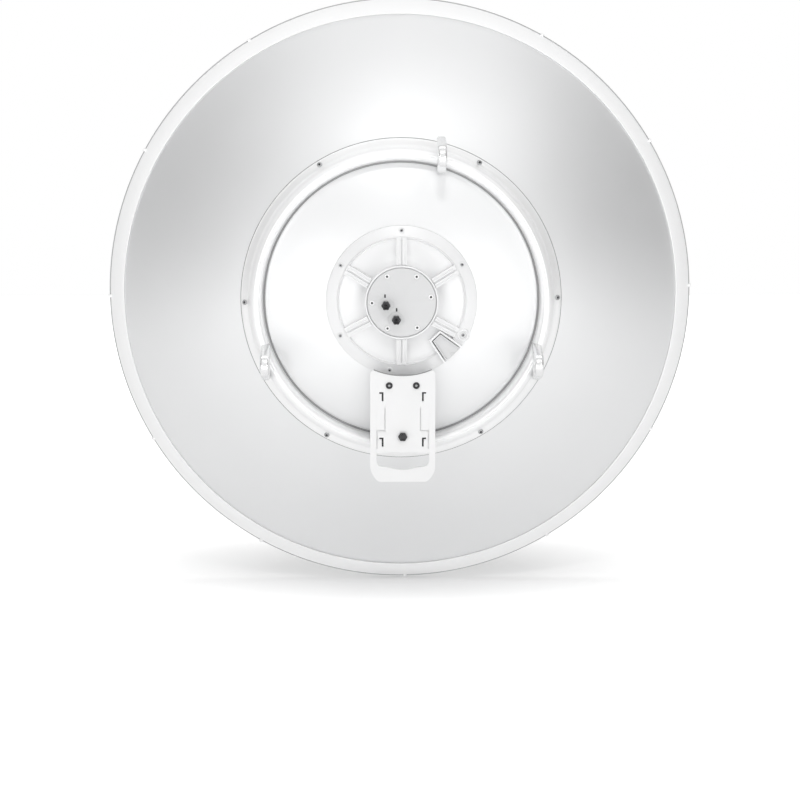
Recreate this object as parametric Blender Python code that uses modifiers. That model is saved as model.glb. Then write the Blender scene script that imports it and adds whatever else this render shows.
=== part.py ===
"""Back of a 0.75 m point-to-point dish antenna: reflector, edge band, mounting ring, hub, feed and radio bracket."""

import math

import bmesh
import bpy
from mathutils import Matrix, Vector

# Metres. The dish frame has its origin at the middle of the bowl's back surface.
# +Y is the way the dish looks, +Z is up, and +X is to the right for someone standing behind it.
GAP = 0.0003
WELD = 0.00003

# Reflector
FOCUS = 0.247
BOWL_R = 0.3570
BOWL_HOLE_R = 0.066
BOWL_SHEET = 0.002
BOWL_RADII = (0.094, 0.132, 0.169, 0.201, 0.240, 0.280, 0.320)
RIM_STEPS = 96
RING_STEPS = 72
HUB_STEPS = 60

# Edge band round the rim
BAND_R = 0.375
BAND_TOE_R = 0.3540
BAND_FRONT_R = 0.3690
BAND_FRONT_Y = 0.152
BAND_TOE_THICK = 0.0022

# Mounting ring pressed from sheet
RING_OUT_R = 0.201
RING_FLANGE_R = 0.191
RING_CROWN_R = 0.183
RING_IN_R = 0.1735
RING_FOOT_R = 0.170
RING_RISE = 0.023
RING_SHEET = 0.0022

# Lugs on the ring
LUG_THICK = 0.011
LUG_BASE_HALF = 0.023
LUG_NOSE_R = 0.0150
LUG_HOLE_R = 0.0055
LUG_HOLE_Y = -0.023
LUG_FOOT_Y = 0.024
TOP_LUG_X = 0.0495
TOP_LUG_Z = 0.180
SIDE_LUG_X = 0.1690
SIDE_LUG_Z = -0.0770
ORIGIN_ON_LUG_Y = -0.002

# Hub
FLANGE_R = 0.094
STEP_R = 0.0775
COLLAR_R = 0.0490
PLATE_R = 0.0434
HUB_BACK_Y = -0.0150
HUB_BORE_R = 0.030
RIB_COUNT = 6
RIB_WIDTH = 0.0125
RIB_HEIGHT = 0.0036
RIB_RIDGE = 0.0034
RIB_VALLEY = 0.0016
PLATE_THICK = 0.003

# Coaxial connectors on the plate
CONNECTOR_R = 0.0053
CONNECTOR_LENGTH = 0.013
CONNECTOR_BASE_R = 0.0078
CONNECTOR_BASE_THICK = 0.0022
CONNECTOR_AT = ((-0.0196, -0.0032), (-0.0067, -0.0211))

# Cable port frame
PORT_ANGLE = math.radians(136.5)
PORT_NEAR_Z = 0.0590
PORT_FAR_Z = 0.0890
PORT_NEAR_HALF = 0.0093
PORT_FAR_HALF = 0.0155
PORT_WALL = 0.0026
PORT_BACK_Y = -0.0060

# Radio bracket
BRACKET_X = 0.0012
BRACKET_HALF = 0.0403
BRACKET_CORNER = 0.0050
BRACKET_BACK_Y = -0.0200
BRACKET_SHEET = 0.0035
BRACKET_WALL = 0.0030
BRACKET_DEPTH = 0.013
BRACKET_ARC_R = 0.091
BRACKET_END_Z = -0.1860
BRACKET_BOLT_X = 0.01675
BRACKET_BOLT_Z = -0.1026
LOOP_END_Z = -0.2232
LOOP_BAR_Z = -0.2040
LOOP_GAP_HALF = 0.0326
SLOT_X = 0.0238
SLOT_WIDE = 0.0022
SLOT_ARM = 0.0052
SLOT_DROP = 0.0115
SLOT_UPPER_Z = -0.1108
SLOT_LOWER_Z = -0.1676
TONGUE_X = 0.0212
TONGUE_TOP_Z = -0.1300
TONGUE_STEP_Z = -0.1580
TONGUE_END_Z = -0.1815
GROOVE_WIDE = 0.0016
GROOVE_DEEP = 0.0012
LOWER_BOLT_Z = -0.1664
LOWER_BOLT_R = 0.0034
PILLAR_R = 0.0075

# Feed on the front
CLAMP_OUT_R = 0.088
CLAMP_IN_R = 0.050
FEED_BASE_R = 0.040
FEED_BASE_LENGTH = 0.020
FEED_TUBE_R = 0.0210
FEED_TUBE_END = 0.2000
FEED_CONE_R = 0.0330
FEED_CAP_END = 0.2480
FEED_STEPS = 40


def clear_scene():
    for obj in list(bpy.data.objects):
        bpy.data.objects.remove(obj, do_unlink=True)


def collection(name):
    made = bpy.data.collections.new(name)
    bpy.context.scene.collection.children.link(made)
    return made


def material(name, colour, roughness, metallic):
    made = bpy.data.materials.new(name)
    made.use_nodes = True
    shader = made.node_tree.nodes["Principled BSDF"]
    shader.inputs["Base Color"].default_value = (*colour, 1.0)
    shader.inputs["Roughness"].default_value = roughness
    shader.inputs["Metallic"].default_value = metallic
    made.diffuse_color = (*colour, 1.0)
    return made


def move_to(obj, holder):
    for old in list(obj.users_collection):
        old.objects.unlink(obj)
    holder.objects.link(obj)


def keep(obj, name, mat):
    """Names an object, gives it its material and puts it with the part's pieces."""
    obj.name = name
    obj.data.name = name
    obj.data.materials.clear()
    obj.data.materials.append(mat)
    move_to(obj, PARTS)
    return obj


def baked(obj):
    """The same shape as a plain mesh, with its modifiers and its place worked in."""
    bpy.context.view_layer.update()
    graph = bpy.context.evaluated_depsgraph_get()
    mesh = bpy.data.meshes.new_from_object(obj.evaluated_get(graph))
    mesh.transform(obj.matrix_world)
    work = bmesh.new()
    work.from_mesh(mesh)
    bmesh.ops.remove_doubles(work, verts=work.verts, dist=WELD)
    bmesh.ops.recalc_face_normals(work, faces=work.faces)
    work.to_mesh(mesh)
    work.free()
    made = bpy.data.objects.new(obj.name, mesh)
    PARTS.objects.link(made)
    bpy.data.objects.remove(obj, do_unlink=True)
    return made


def combine(obj, other, operation="DIFFERENCE", solver="EXACT"):
    """Cuts or joins with a Boolean and bakes the result."""
    step = obj.modifiers.new(operation.title(), "BOOLEAN")
    step.operation = operation
    step.solver = solver
    step.object = other
    made = baked(obj)
    bpy.data.objects.remove(other, do_unlink=True)
    return made


def turned(profile, steps):
    """A closed outline of (radius, y) points turned once round the dish axis."""
    points = [Vector((r, y, 0.0)) for r, y in profile]
    area = sum(
        a.x * b.y - b.x * a.y for a, b in zip(points, points[1:] + points[:1])
    )
    if area < 0:
        points.reverse()
    mesh = bpy.data.meshes.new("profile")
    count = len(points)
    edges = [(i, (i + 1) % count) for i in range(count)]
    mesh.from_pydata(points, edges, [])
    obj = bpy.data.objects.new("profile", mesh)
    PARTS.objects.link(obj)
    turn = obj.modifiers.new("Turn", "SCREW")
    turn.axis = "Y"
    turn.angle = math.tau
    turn.steps = steps
    turn.render_steps = steps
    turn.use_merge_vertices = True
    turn.merge_threshold = 0.00001
    turn.use_normal_calculate = True
    return baked(obj)


def slab(outline, middle, thick, facing="Y"):
    """A flat outline with an even thickness: (x, z) points facing along Y, or (y, z) points facing along X."""
    curve = bpy.data.curves.new("slab", "CURVE")
    curve.dimensions = "2D"
    curve.fill_mode = "BOTH"
    curve.extrude = thick / 2
    line = curve.splines.new("POLY")
    line.points.add(len(outline) - 1)
    for point, (u, v) in zip(line.points, outline):
        point.co = (u, v, 0.0, 1.0)
    line.use_cyclic_u = True
    obj = bpy.data.objects.new("slab", curve)
    PARTS.objects.link(obj)
    if facing == "Y":
        obj.matrix_world = Matrix(
            ((1, 0, 0, 0), (0, 0, -1, middle), (0, 1, 0, 0), (0, 0, 0, 1))
        )
    else:
        obj.matrix_world = Matrix(
            ((0, 0, 1, middle), (1, 0, 0, 0), (0, 1, 0, 0), (0, 0, 0, 1))
        )
    return baked(obj)


def box(low, high):
    size = [b - a for a, b in zip(low, high)]
    centre = [(a + b) / 2 for a, b in zip(low, high)]
    bpy.ops.mesh.primitive_cube_add(size=1.0, location=centre)
    obj = bpy.context.object
    obj.scale = size
    return baked(obj)


def rod(radius, start, end, sides=24):
    """A round bar from one point to another."""
    a = Vector(start)
    b = Vector(end)
    bpy.ops.mesh.primitive_cylinder_add(
        vertices=sides, radius=radius, depth=(b - a).length
    )
    obj = bpy.context.object
    turn = (b - a).to_track_quat("Z", "Y").to_matrix().to_4x4()
    obj.matrix_world = Matrix.Translation((a + b) / 2) @ turn
    return baked(obj)


def arc(centre, radius, start, end, count):
    """Points on a circle, angles in degrees measured from the first axis."""
    found = []
    for i in range(count + 1):
        angle = math.radians(start + (end - start) * i / count)
        found.append(
            (
                centre[0] + radius * math.cos(angle),
                centre[1] + radius * math.sin(angle),
            )
        )
    return found


def bowl_back(r):
    return r * r / (4 * FOCUS)


def bowl_front(r):
    """The front surface near this radius, the sheet's thickness measured square to the surface."""
    return bowl_back(r) + BOWL_SHEET * math.hypot(1.0, r / (2 * FOCUS))


def off_bowl(r, lift):
    """The point this far behind the bowl's back surface at this radius."""
    return (r, bowl_back(r) - lift)


def round_dish(obj, clockwise):
    """Turns a piece round the dish axis, clockwise as seen from behind, starting from the top."""
    obj.data.transform(Matrix.Rotation(clockwise, 4, "Y"))
    return obj


def reflector_bowl():
    radii = [BOWL_HOLE_R, *BOWL_RADII, BAND_TOE_R, BOWL_R]
    back = [(r, bowl_back(r)) for r in radii]
    front = [(r, bowl_front(r)) for r in reversed(radii)]
    return keep(turned(back + front, RIM_STEPS), "reflector_bowl", PEARL)


def rim_band():
    """The band that grips the bowl's edge in a slot and flares out steeper than the bowl to the front edge."""
    toe_back = bowl_back(BAND_TOE_R)
    toe_front = bowl_front(BAND_TOE_R)
    edge_r = BOWL_R + GAP
    profile = [
        (BAND_TOE_R, toe_back - GAP),
        (BAND_TOE_R + 0.0001, toe_back - BAND_TOE_THICK + 0.0003),
        (BAND_TOE_R + 0.0009, toe_back - BAND_TOE_THICK),
        (BAND_R - 0.0008, BAND_FRONT_Y - 0.0032),
        (BAND_R, BAND_FRONT_Y - 0.0017),
        (BAND_R - 0.0004, BAND_FRONT_Y - 0.0004),
        (BAND_R - 0.0015, BAND_FRONT_Y),
        (BAND_FRONT_R + 0.0010, BAND_FRONT_Y),
        (BAND_FRONT_R, BAND_FRONT_Y - 0.0006),
        (BAND_TOE_R + 0.0004, toe_front + BAND_TOE_THICK),
        (BAND_TOE_R, toe_front + GAP),
        (edge_r, bowl_front(edge_r) + GAP),
        (edge_r, bowl_back(edge_r) - GAP),
    ]
    return keep(turned(profile, RIM_STEPS), "rim_band", WHITE)


def ring_outside():
    """The ring's outer side, from its outer edge over the crown to its inner foot."""
    return [
        off_bowl(RING_OUT_R, GAP),
        off_bowl(RING_OUT_R - 0.0004, RING_SHEET + GAP),
        off_bowl(RING_FLANGE_R + 0.0015, 0.0060),
        off_bowl(RING_FLANGE_R - 0.0006, 0.0150),
        off_bowl(RING_FLANGE_R - 0.0030, 0.0205),
        off_bowl(RING_CROWN_R, RING_RISE),
        off_bowl(RING_CROWN_R - 0.0050, RING_RISE - 0.0025),
        off_bowl(RING_IN_R + 0.0010, RING_RISE - 0.0075),
        off_bowl(RING_IN_R, 0.0100),
        off_bowl(RING_FOOT_R, 0.0030),
        off_bowl(RING_FOOT_R - 0.0010, GAP),
    ]


def ring_inside():
    """The same sheet's inner side, back from the inner foot to the outer edge."""
    return [
        off_bowl(RING_FOOT_R + 0.0020, GAP),
        off_bowl(RING_IN_R + 0.0020, 0.0105),
        off_bowl(RING_IN_R + 0.0032, RING_RISE - 0.0085),
        off_bowl(RING_CROWN_R - 0.0045, RING_RISE - 0.0048),
        off_bowl(RING_CROWN_R, RING_RISE - RING_SHEET),
        off_bowl(RING_FLANGE_R - 0.0047, 0.0190),
        off_bowl(RING_FLANGE_R - 0.0028, 0.0145),
        off_bowl(RING_FLANGE_R - 0.0005, 0.0045),
        off_bowl(RING_FLANGE_R + 0.0020, GAP),
    ]


def mount_ring():
    return keep(turned(ring_outside() + ring_inside(), RING_STEPS), "mount_ring", WHITE)


def ring_clearance():
    """A solid that fills the ring's section and stands a gap off it, to fit a foot on the ring."""
    grown = [(r, y - GAP) for r, y in ring_outside()]
    first = (grown[0][0] + GAP, grown[0][1])
    last = (grown[-1][0] - GAP, grown[-1][1])
    floor = [
        (last[0], bowl_back(last[0]) + 0.040),
        (first[0] + 0.020, bowl_back(first[0]) + 0.040),
        (first[0] + 0.020, bowl_back(first[0] + 0.020) - GAP),
    ]
    return turned([first] + grown[1:-1] + [last] + floor, RING_STEPS)


def lug(name, x, z):
    """An upright lug astride the ring, with a round nose and one cross hole for the mast bracket's bolt."""
    nose = arc((LUG_HOLE_Y, z), LUG_NOSE_R, 100.0, 260.0, 10)
    outline = [
        (LUG_FOOT_Y, z + LUG_BASE_HALF),
        (LUG_FOOT_Y - 0.012, z + LUG_BASE_HALF - 0.0005),
        *nose,
        (LUG_FOOT_Y - 0.012, z - LUG_BASE_HALF + 0.0005),
        (LUG_FOOT_Y, z - LUG_BASE_HALF),
    ]
    obj = slab(outline, x, LUG_THICK, facing="X")
    reach = LUG_THICK
    hole = rod(LUG_HOLE_R, (x - reach, LUG_HOLE_Y, z), (x + reach, LUG_HOLE_Y, z))
    obj = combine(obj, hole)
    # The exact solver loses every face of the right lug in this cut.
    obj = combine(obj, ring_clearance(), solver="MANIFOLD")
    return keep(obj, name, WHITE)


def hub_profile_y(r):
    """The cone's back surface between the step and the collar."""
    share = (STEP_R - r) / (STEP_R - COLLAR_R)
    return 0.0052 + share * (-0.0095 - 0.0052)


def hub_flange():
    """The moulded hub: a flat flange on the bowl, a step down, and a cone that rises to the collar."""
    profile = [
        off_bowl(FLANGE_R, GAP),
        off_bowl(FLANGE_R - 0.0005, 0.0026),
        off_bowl(STEP_R + 0.0030, 0.0030),
        (STEP_R + 0.0005, 0.0026),
        (STEP_R, hub_profile_y(STEP_R)),
        (COLLAR_R + GAP, hub_profile_y(COLLAR_R)),
        (COLLAR_R - 0.0060, hub_profile_y(COLLAR_R)),
        (HUB_BORE_R, hub_profile_y(COLLAR_R)),
        (HUB_BORE_R, hub_profile_y(COLLAR_R) + 0.0040),
        (COLLAR_R - 0.0040, hub_profile_y(COLLAR_R) + 0.0040),
        (BOWL_HOLE_R - 0.0020, 0.0030),
        (BOWL_HOLE_R - 0.0015, bowl_back(BOWL_HOLE_R) - GAP),
    ]
    return keep(turned(profile, HUB_STEPS), "hub_flange", PLASTIC)


def hub_collar():
    """The white collar that frames the connector plate."""
    base = hub_profile_y(COLLAR_R) - GAP
    profile = [
        (COLLAR_R, base),
        (COLLAR_R - 0.0008, HUB_BACK_Y + 0.0004),
        (COLLAR_R - 0.0018, HUB_BACK_Y - 0.0006),
        (PLATE_R + 0.0010, HUB_BACK_Y - 0.0006),
        (PLATE_R + GAP, HUB_BACK_Y),
        (PLATE_R + GAP, HUB_BACK_Y + PLATE_THICK + GAP),
        (PLATE_R - 0.0040, HUB_BACK_Y + PLATE_THICK + GAP),
        (PLATE_R - 0.0040, base),
    ]
    return keep(turned(profile, HUB_STEPS), "hub_collar", PLASTIC)


def connector_plate():
    obj = turned(
        [
            (0.0, HUB_BACK_Y),
            (PLATE_R - 0.0006, HUB_BACK_Y),
            (PLATE_R, HUB_BACK_Y + 0.0006),
            (PLATE_R, HUB_BACK_Y + PLATE_THICK),
            (0.0, HUB_BACK_Y + PLATE_THICK),
        ],
        HUB_STEPS,
    )
    return keep(obj, "connector_plate", GREY)


def hub_rib(index):
    """One double-ridge rib, from the collar out over the step to the flange."""
    inner = COLLAR_R + 2 * GAP
    outer = STEP_R + 0.0045
    crest_in = hub_profile_y(inner) - RIB_HEIGHT
    crest_out = hub_profile_y(STEP_R) - 0.0052
    tip = bowl_back(outer) - 0.0045
    side = [
        (0.010, inner),
        (crest_in, inner),
        (crest_out, STEP_R - 0.0020),
        (tip, outer),
        (0.010, outer),
    ]
    obj = slab(side, 0.0, RIB_WIDTH, facing="X")
    groove = slab(
        [
            (crest_in - 0.004, inner - 0.004),
            (crest_in + RIB_VALLEY, inner - 0.004),
            (crest_in + RIB_VALLEY, inner),
            (crest_out + RIB_VALLEY, STEP_R - 0.0020),
            (tip + 0.0006, outer + 0.004),
            (tip - 0.006, outer + 0.004),
        ],
        0.0,
        RIB_WIDTH - 2 * RIB_RIDGE,
        facing="X",
    )
    obj = combine(obj, groove)
    obj = combine(obj, hub_clearance())
    round_dish(obj, math.tau * index / RIB_COUNT)
    return keep(obj, f"hub_rib_{index + 1}", PLASTIC)


def connector(name, x, z):
    """One coaxial socket: a round base on the plate and a threaded barrel."""
    face = HUB_BACK_Y - GAP
    base = rod(
        CONNECTOR_BASE_R, (x, face, z), (x, face - CONNECTOR_BASE_THICK, z), 6
    )
    barrel = rod(
        CONNECTOR_R, (x, face - 0.0005, z), (x, face - CONNECTOR_LENGTH, z), 24
    )
    obj = combine(base, barrel, "UNION")
    bore = rod(
        0.0038,
        (x, face - CONNECTOR_LENGTH + 0.006, z),
        (x, face - CONNECTOR_LENGTH - 0.002, z),
        20,
    )
    obj = combine(obj, bore)
    return keep(obj, name, STEEL)


def cable_port_frame():
    """A U-shaped wall on the hub round the cable opening, its legs spreading toward the flange's edge."""
    outline = [
        (-PORT_NEAR_HALF, PORT_NEAR_Z),
        (PORT_NEAR_HALF, PORT_NEAR_Z),
        (PORT_FAR_HALF, PORT_FAR_Z),
        (PORT_FAR_HALF - PORT_WALL, PORT_FAR_Z),
        (PORT_NEAR_HALF - PORT_WALL, PORT_NEAR_Z + PORT_WALL),
        (-PORT_NEAR_HALF + PORT_WALL, PORT_NEAR_Z + PORT_WALL),
        (-PORT_FAR_HALF + PORT_WALL, PORT_FAR_Z),
        (-PORT_FAR_HALF, PORT_FAR_Z),
    ]
    depth = 0.020
    obj = slab(outline, PORT_BACK_Y + depth / 2, depth)
    obj = combine(obj, hub_clearance())
    round_dish(obj, PORT_ANGLE)
    return keep(obj, "cable_port_frame", PLASTIC)


def hub_clearance():
    """A solid that stands a gap off the hub's cone and flange, to fit a foot on them."""
    profile = [
        (0.0, hub_profile_y(COLLAR_R) - GAP),
        (COLLAR_R + GAP, hub_profile_y(COLLAR_R) - GAP),
        (STEP_R, hub_profile_y(STEP_R) - GAP),
        (STEP_R, 0.0026 - GAP),
        (STEP_R + 0.0030, bowl_back(STEP_R + 0.0030) - 0.0030 - GAP),
        (FLANGE_R + 0.001, bowl_back(FLANGE_R) - 0.0026 - GAP),
        (FLANGE_R + 0.001, 0.060),
        (0.0, 0.060),
    ]
    return turned(profile, HUB_STEPS)


def bracket_outline():
    """The whole moulding's outline: a top edge hollowed to follow the hub flange, straight sides and a rounded foot."""
    half = BRACKET_HALF
    corner = BRACKET_CORNER
    reach = math.degrees(math.asin((half - corner) / BRACKET_ARC_R))
    top = arc((0.0, 0.0), BRACKET_ARC_R, -90.0 + reach, -90.0 - reach, 12)
    top_z = -BRACKET_ARC_R * math.cos(math.radians(reach))
    left = arc((-half + corner, top_z - corner), corner, 90.0, 180.0, 3)
    right = arc((half - corner, top_z - corner), corner, 0.0, 90.0, 3)
    foot = [
        (-half, LOOP_END_Z + 0.0180),
        (-half + 0.0024, LOOP_END_Z + 0.0112),
        (-half + 0.0070, LOOP_END_Z + 0.0038),
        (-half + 0.0105, LOOP_END_Z + 0.0008),
        (-half + 0.0140, LOOP_END_Z),
        (half - 0.0140, LOOP_END_Z),
        (half - 0.0105, LOOP_END_Z + 0.0008),
        (half - 0.0070, LOOP_END_Z + 0.0038),
        (half - 0.0024, LOOP_END_Z + 0.0112),
        (half, LOOP_END_Z + 0.0180),
    ]
    return top[:-1] + left + foot + right[:-1]


def loop_opening():
    """The hand opening's outline, its lower edge dipping in the middle to suit the fingers."""
    half = LOOP_GAP_HALF
    low = LOOP_BAR_Z
    return [
        (-half, BRACKET_END_Z),
        (-half, low + 0.0070),
        (-half + 0.0013, low + 0.0028),
        (-half + 0.0040, low + 0.0002),
        (-half + 0.0105, low),
        (-half + 0.0180, low - 0.0016),
        (-half + 0.0260, low - 0.0034),
        (0.0, low - 0.0041),
        (half - 0.0260, low - 0.0034),
        (half - 0.0180, low - 0.0016),
        (half - 0.0105, low),
        (half - 0.0040, low + 0.0002),
        (half - 0.0013, low + 0.0028),
        (half, low + 0.0070),
        (half, BRACKET_END_Z),
    ]


def slot_outline(side, top):
    """An L-shaped slot that one of the radio's hooks slides in."""
    inner = side * SLOT_X
    outer = side * (SLOT_X + SLOT_WIDE)
    tip = side * (SLOT_X + SLOT_ARM)
    return [
        (inner, top),
        (inner, top - SLOT_DROP),
        (outer, top - SLOT_DROP),
        (outer, top - SLOT_WIDE),
        (tip, top - SLOT_WIDE),
        (tip, top),
    ]


def groove_outline(side):
    """The stepped groove down one side of the release tongue."""
    near = side * TONGUE_X
    near_out = side * (TONGUE_X + GROOVE_WIDE)
    far = side * LOOP_GAP_HALF
    far_in = side * (LOOP_GAP_HALF - GROOVE_WIDE)
    return [
        (near, TONGUE_TOP_Z),
        (near, TONGUE_STEP_Z - GROOVE_WIDE),
        (far_in, TONGUE_STEP_Z - GROOVE_WIDE),
        (far_in, TONGUE_END_Z),
        (far, TONGUE_END_Z),
        (far, TONGUE_STEP_Z),
        (near_out, TONGUE_STEP_Z),
        (near_out, TONGUE_TOP_Z),
    ]


def radio_bracket():
    """The moulding that the radio hooks on: a plate with side walls turned toward the bowl and a hand loop below."""
    centre = BRACKET_BACK_Y + BRACKET_SHEET / 2
    obj = slab(bracket_outline(), centre, BRACKET_SHEET)
    wall_y = BRACKET_BACK_Y + BRACKET_SHEET - 0.001
    for side in (-1, 1):
        xs = sorted((side * (BRACKET_HALF - BRACKET_WALL), side * (BRACKET_HALF - 0.0001)))
        wall = box(
            (xs[0], wall_y, LOOP_END_Z + 0.0190),
            (xs[1], BRACKET_BACK_Y + BRACKET_DEPTH, -0.0905),
        )
        obj = combine(obj, wall, "UNION")
    deep = BRACKET_SHEET + 0.004
    obj = combine(obj, slab(loop_opening(), centre, deep))
    for side in (-1, 1):
        for top in (SLOT_UPPER_Z, SLOT_LOWER_Z):
            obj = combine(obj, slab(slot_outline(side, top), centre, deep))
        obj = combine(obj, slab(groove_outline(side), BRACKET_BACK_Y, 2 * GROOVE_DEEP))
    bolt = Vector((0.0, centre, LOWER_BOLT_Z))
    reach = Vector((0.0, deep / 2, 0.0))
    obj = combine(obj, rod(LOWER_BOLT_R, bolt - reach, bolt + reach, 20))
    obj.data.transform(Matrix.Translation((BRACKET_X, 0.0, 0.0)))
    return keep(obj, "radio_bracket", PLASTIC)


def bracket_pillar(name, side):
    """A round stand-off from the bowl up to the plate, under one of the two upper bolts."""
    x = BRACKET_X + side * BRACKET_BOLT_X
    r = math.hypot(x, BRACKET_BOLT_Z)
    start = BRACKET_BACK_Y + BRACKET_SHEET + GAP
    obj = rod(PILLAR_R, (x, start, BRACKET_BOLT_Z), (x, bowl_back(r) + 0.010, BRACKET_BOLT_Z))
    obj = combine(obj, bowl_clearance())
    return keep(obj, name, PLASTIC)


def bowl_clearance():
    """A solid that stands a gap off the bowl's back surface, to fit a foot on it."""
    radii = [0.05 + 0.025 * i for i in range(9)]
    back = [(0.0, bowl_back(0.05) - 0.004)] + [off_bowl(r, GAP) for r in radii]
    far = radii[-1]
    return turned(back + [(far, 0.12), (0.0, 0.12)], RIM_STEPS)


def ring_bridge():
    """The block between the ring's crown and the plate, under the lower bolt."""
    start = BRACKET_BACK_Y + BRACKET_SHEET + GAP
    obj = box(
        (BRACKET_X - 0.016, start, BRACKET_END_Z + 0.0005),
        (BRACKET_X + 0.016, 0.018, -0.1640),
    )
    obj = combine(obj, ring_clearance())
    return keep(obj, "ring_bridge", PLASTIC)


def clamp_ring():
    """The ring on the front of the bowl that the hub's screws pull against."""
    radii = [CLAMP_OUT_R, BOWL_HOLE_R + 0.004, CLAMP_IN_R]
    profile = [
        (radii[0], bowl_front(radii[0]) + GAP),
        (radii[0], bowl_front(radii[0]) + 0.0026),
        (radii[2] + 0.004, bowl_front(radii[1]) + 0.0040),
        (radii[2], bowl_front(radii[1]) + 0.0035),
        (radii[2], bowl_front(radii[1]) + 0.0006),
        (radii[1], bowl_front(radii[1]) + GAP),
    ]
    return keep(turned(profile, HUB_STEPS), "clamp_ring", WHITE)


def feed_base():
    """The socket that holds the feed tube square to the bowl."""
    start = hub_profile_y(COLLAR_R) + 0.0040 + GAP
    clamp = bowl_front(BOWL_HOLE_R + 0.004) + 0.0040
    profile = [
        (CLAMP_IN_R - 0.0090, start),
        (CLAMP_IN_R - 0.0090, 0.0060),
        (CLAMP_IN_R - GAP, 0.0075),
        (CLAMP_IN_R - GAP, clamp),
        (FEED_BASE_R, clamp + 0.0040),
        (FEED_TUBE_R + 0.0060, clamp + FEED_BASE_LENGTH),
        (FEED_TUBE_R + GAP, clamp + FEED_BASE_LENGTH),
        (FEED_TUBE_R + GAP, start + 0.0060),
        (FEED_TUBE_R - 0.0040, start + 0.0060),
        (FEED_TUBE_R - 0.0040, start),
    ]
    return keep(turned(profile, FEED_STEPS), "feed_base", GREY)


def feed_tube():
    start = hub_profile_y(COLLAR_R) + 0.0040 + GAP + 0.0060 + GAP
    profile = [
        (FEED_TUBE_R, start),
        (FEED_TUBE_R, FEED_TUBE_END),
        (FEED_TUBE_R - 0.0020, FEED_TUBE_END),
        (FEED_TUBE_R - 0.0020, start),
    ]
    return keep(turned(profile, FEED_STEPS), "feed_tube", GREY)


def feed_cap():
    """The moulded cone that carries the small reflector in front of the tube."""
    start = FEED_TUBE_END + GAP
    profile = [
        (0.0, start),
        (FEED_TUBE_R + 0.0015, start),
        (FEED_TUBE_R + 0.0015, start + 0.0060),
        (FEED_CONE_R, start + 0.0300),
        (FEED_CONE_R, start + 0.0380),
        (0.0, start + 0.0380),
    ]
    return keep(turned(profile, FEED_STEPS), "feed_cone", PLASTIC)


def sub_reflector():
    start = FEED_TUBE_END + 0.0380 + 2 * GAP
    profile = [
        (0.0, start),
        (FEED_CONE_R, start),
        (FEED_CONE_R + 0.0010, start + 0.0020),
        (FEED_CONE_R - 0.0040, FEED_CAP_END - 0.0015),
        (FEED_CONE_R - 0.0120, FEED_CAP_END),
        (0.0, FEED_CAP_END),
    ]
    return keep(turned(profile, FEED_STEPS), "sub_reflector", PLASTIC)


def shift_to_origin():
    """Moves everything so that the origin is on the left lug's outer flat face."""
    origin = Vector((-SIDE_LUG_X - LUG_THICK / 2, ORIGIN_ON_LUG_Y, SIDE_LUG_Z))
    for obj in PARTS.objects:
        obj.data.transform(Matrix.Translation(-origin))
        obj.data.shade_smooth()
        obj.data.set_sharp_from_angle(angle=math.radians(35.0))


clear_scene()
PARTS = collection("dish_antenna")
PEARL = material("pearl_paint", (0.80, 0.81, 0.82), 0.38, 0.0)
WHITE = material("white_paint", (0.86, 0.86, 0.86), 0.35, 0.0)
GREY = material("grey_casting", (0.66, 0.67, 0.68), 0.45, 0.0)
PLASTIC = material("white_plastic", (0.86, 0.86, 0.86), 0.42, 0.0)
STEEL = material("nickel_plate", (0.42, 0.42, 0.43), 0.30, 1.0)

reflector_bowl()
rim_band()
mount_ring()
lug("lug_top", TOP_LUG_X, TOP_LUG_Z)
lug("lug_left", -SIDE_LUG_X, SIDE_LUG_Z)
lug("lug_right", SIDE_LUG_X, SIDE_LUG_Z)
hub_flange()
hub_collar()
connector_plate()
for number in range(RIB_COUNT):
    hub_rib(number)
for label, (at_x, at_z) in zip(("upper", "lower"), CONNECTOR_AT):
    connector(f"connector_{label}", at_x, at_z)
cable_port_frame()
radio_bracket()
bracket_pillar("bracket_pillar_left", -1)
bracket_pillar("bracket_pillar_right", 1)
ring_bridge()
clamp_ring()
feed_base()
feed_tube()
feed_cap()
sub_reflector()
shift_to_origin()
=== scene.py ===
# %% [markdown]
# The back of a round link dish, 0.75 m across. A spun aluminium bowl sits in a bright edge
# band. A pressed ring with three lugs holds it to a mast, a moulded hub in the middle carries
# two coaxial sockets, and a hooked plate with a hand loop takes the radio.
#
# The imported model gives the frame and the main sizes. Here its pieces get the finer form and
# the finish of the real ones, in the same frame.

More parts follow.
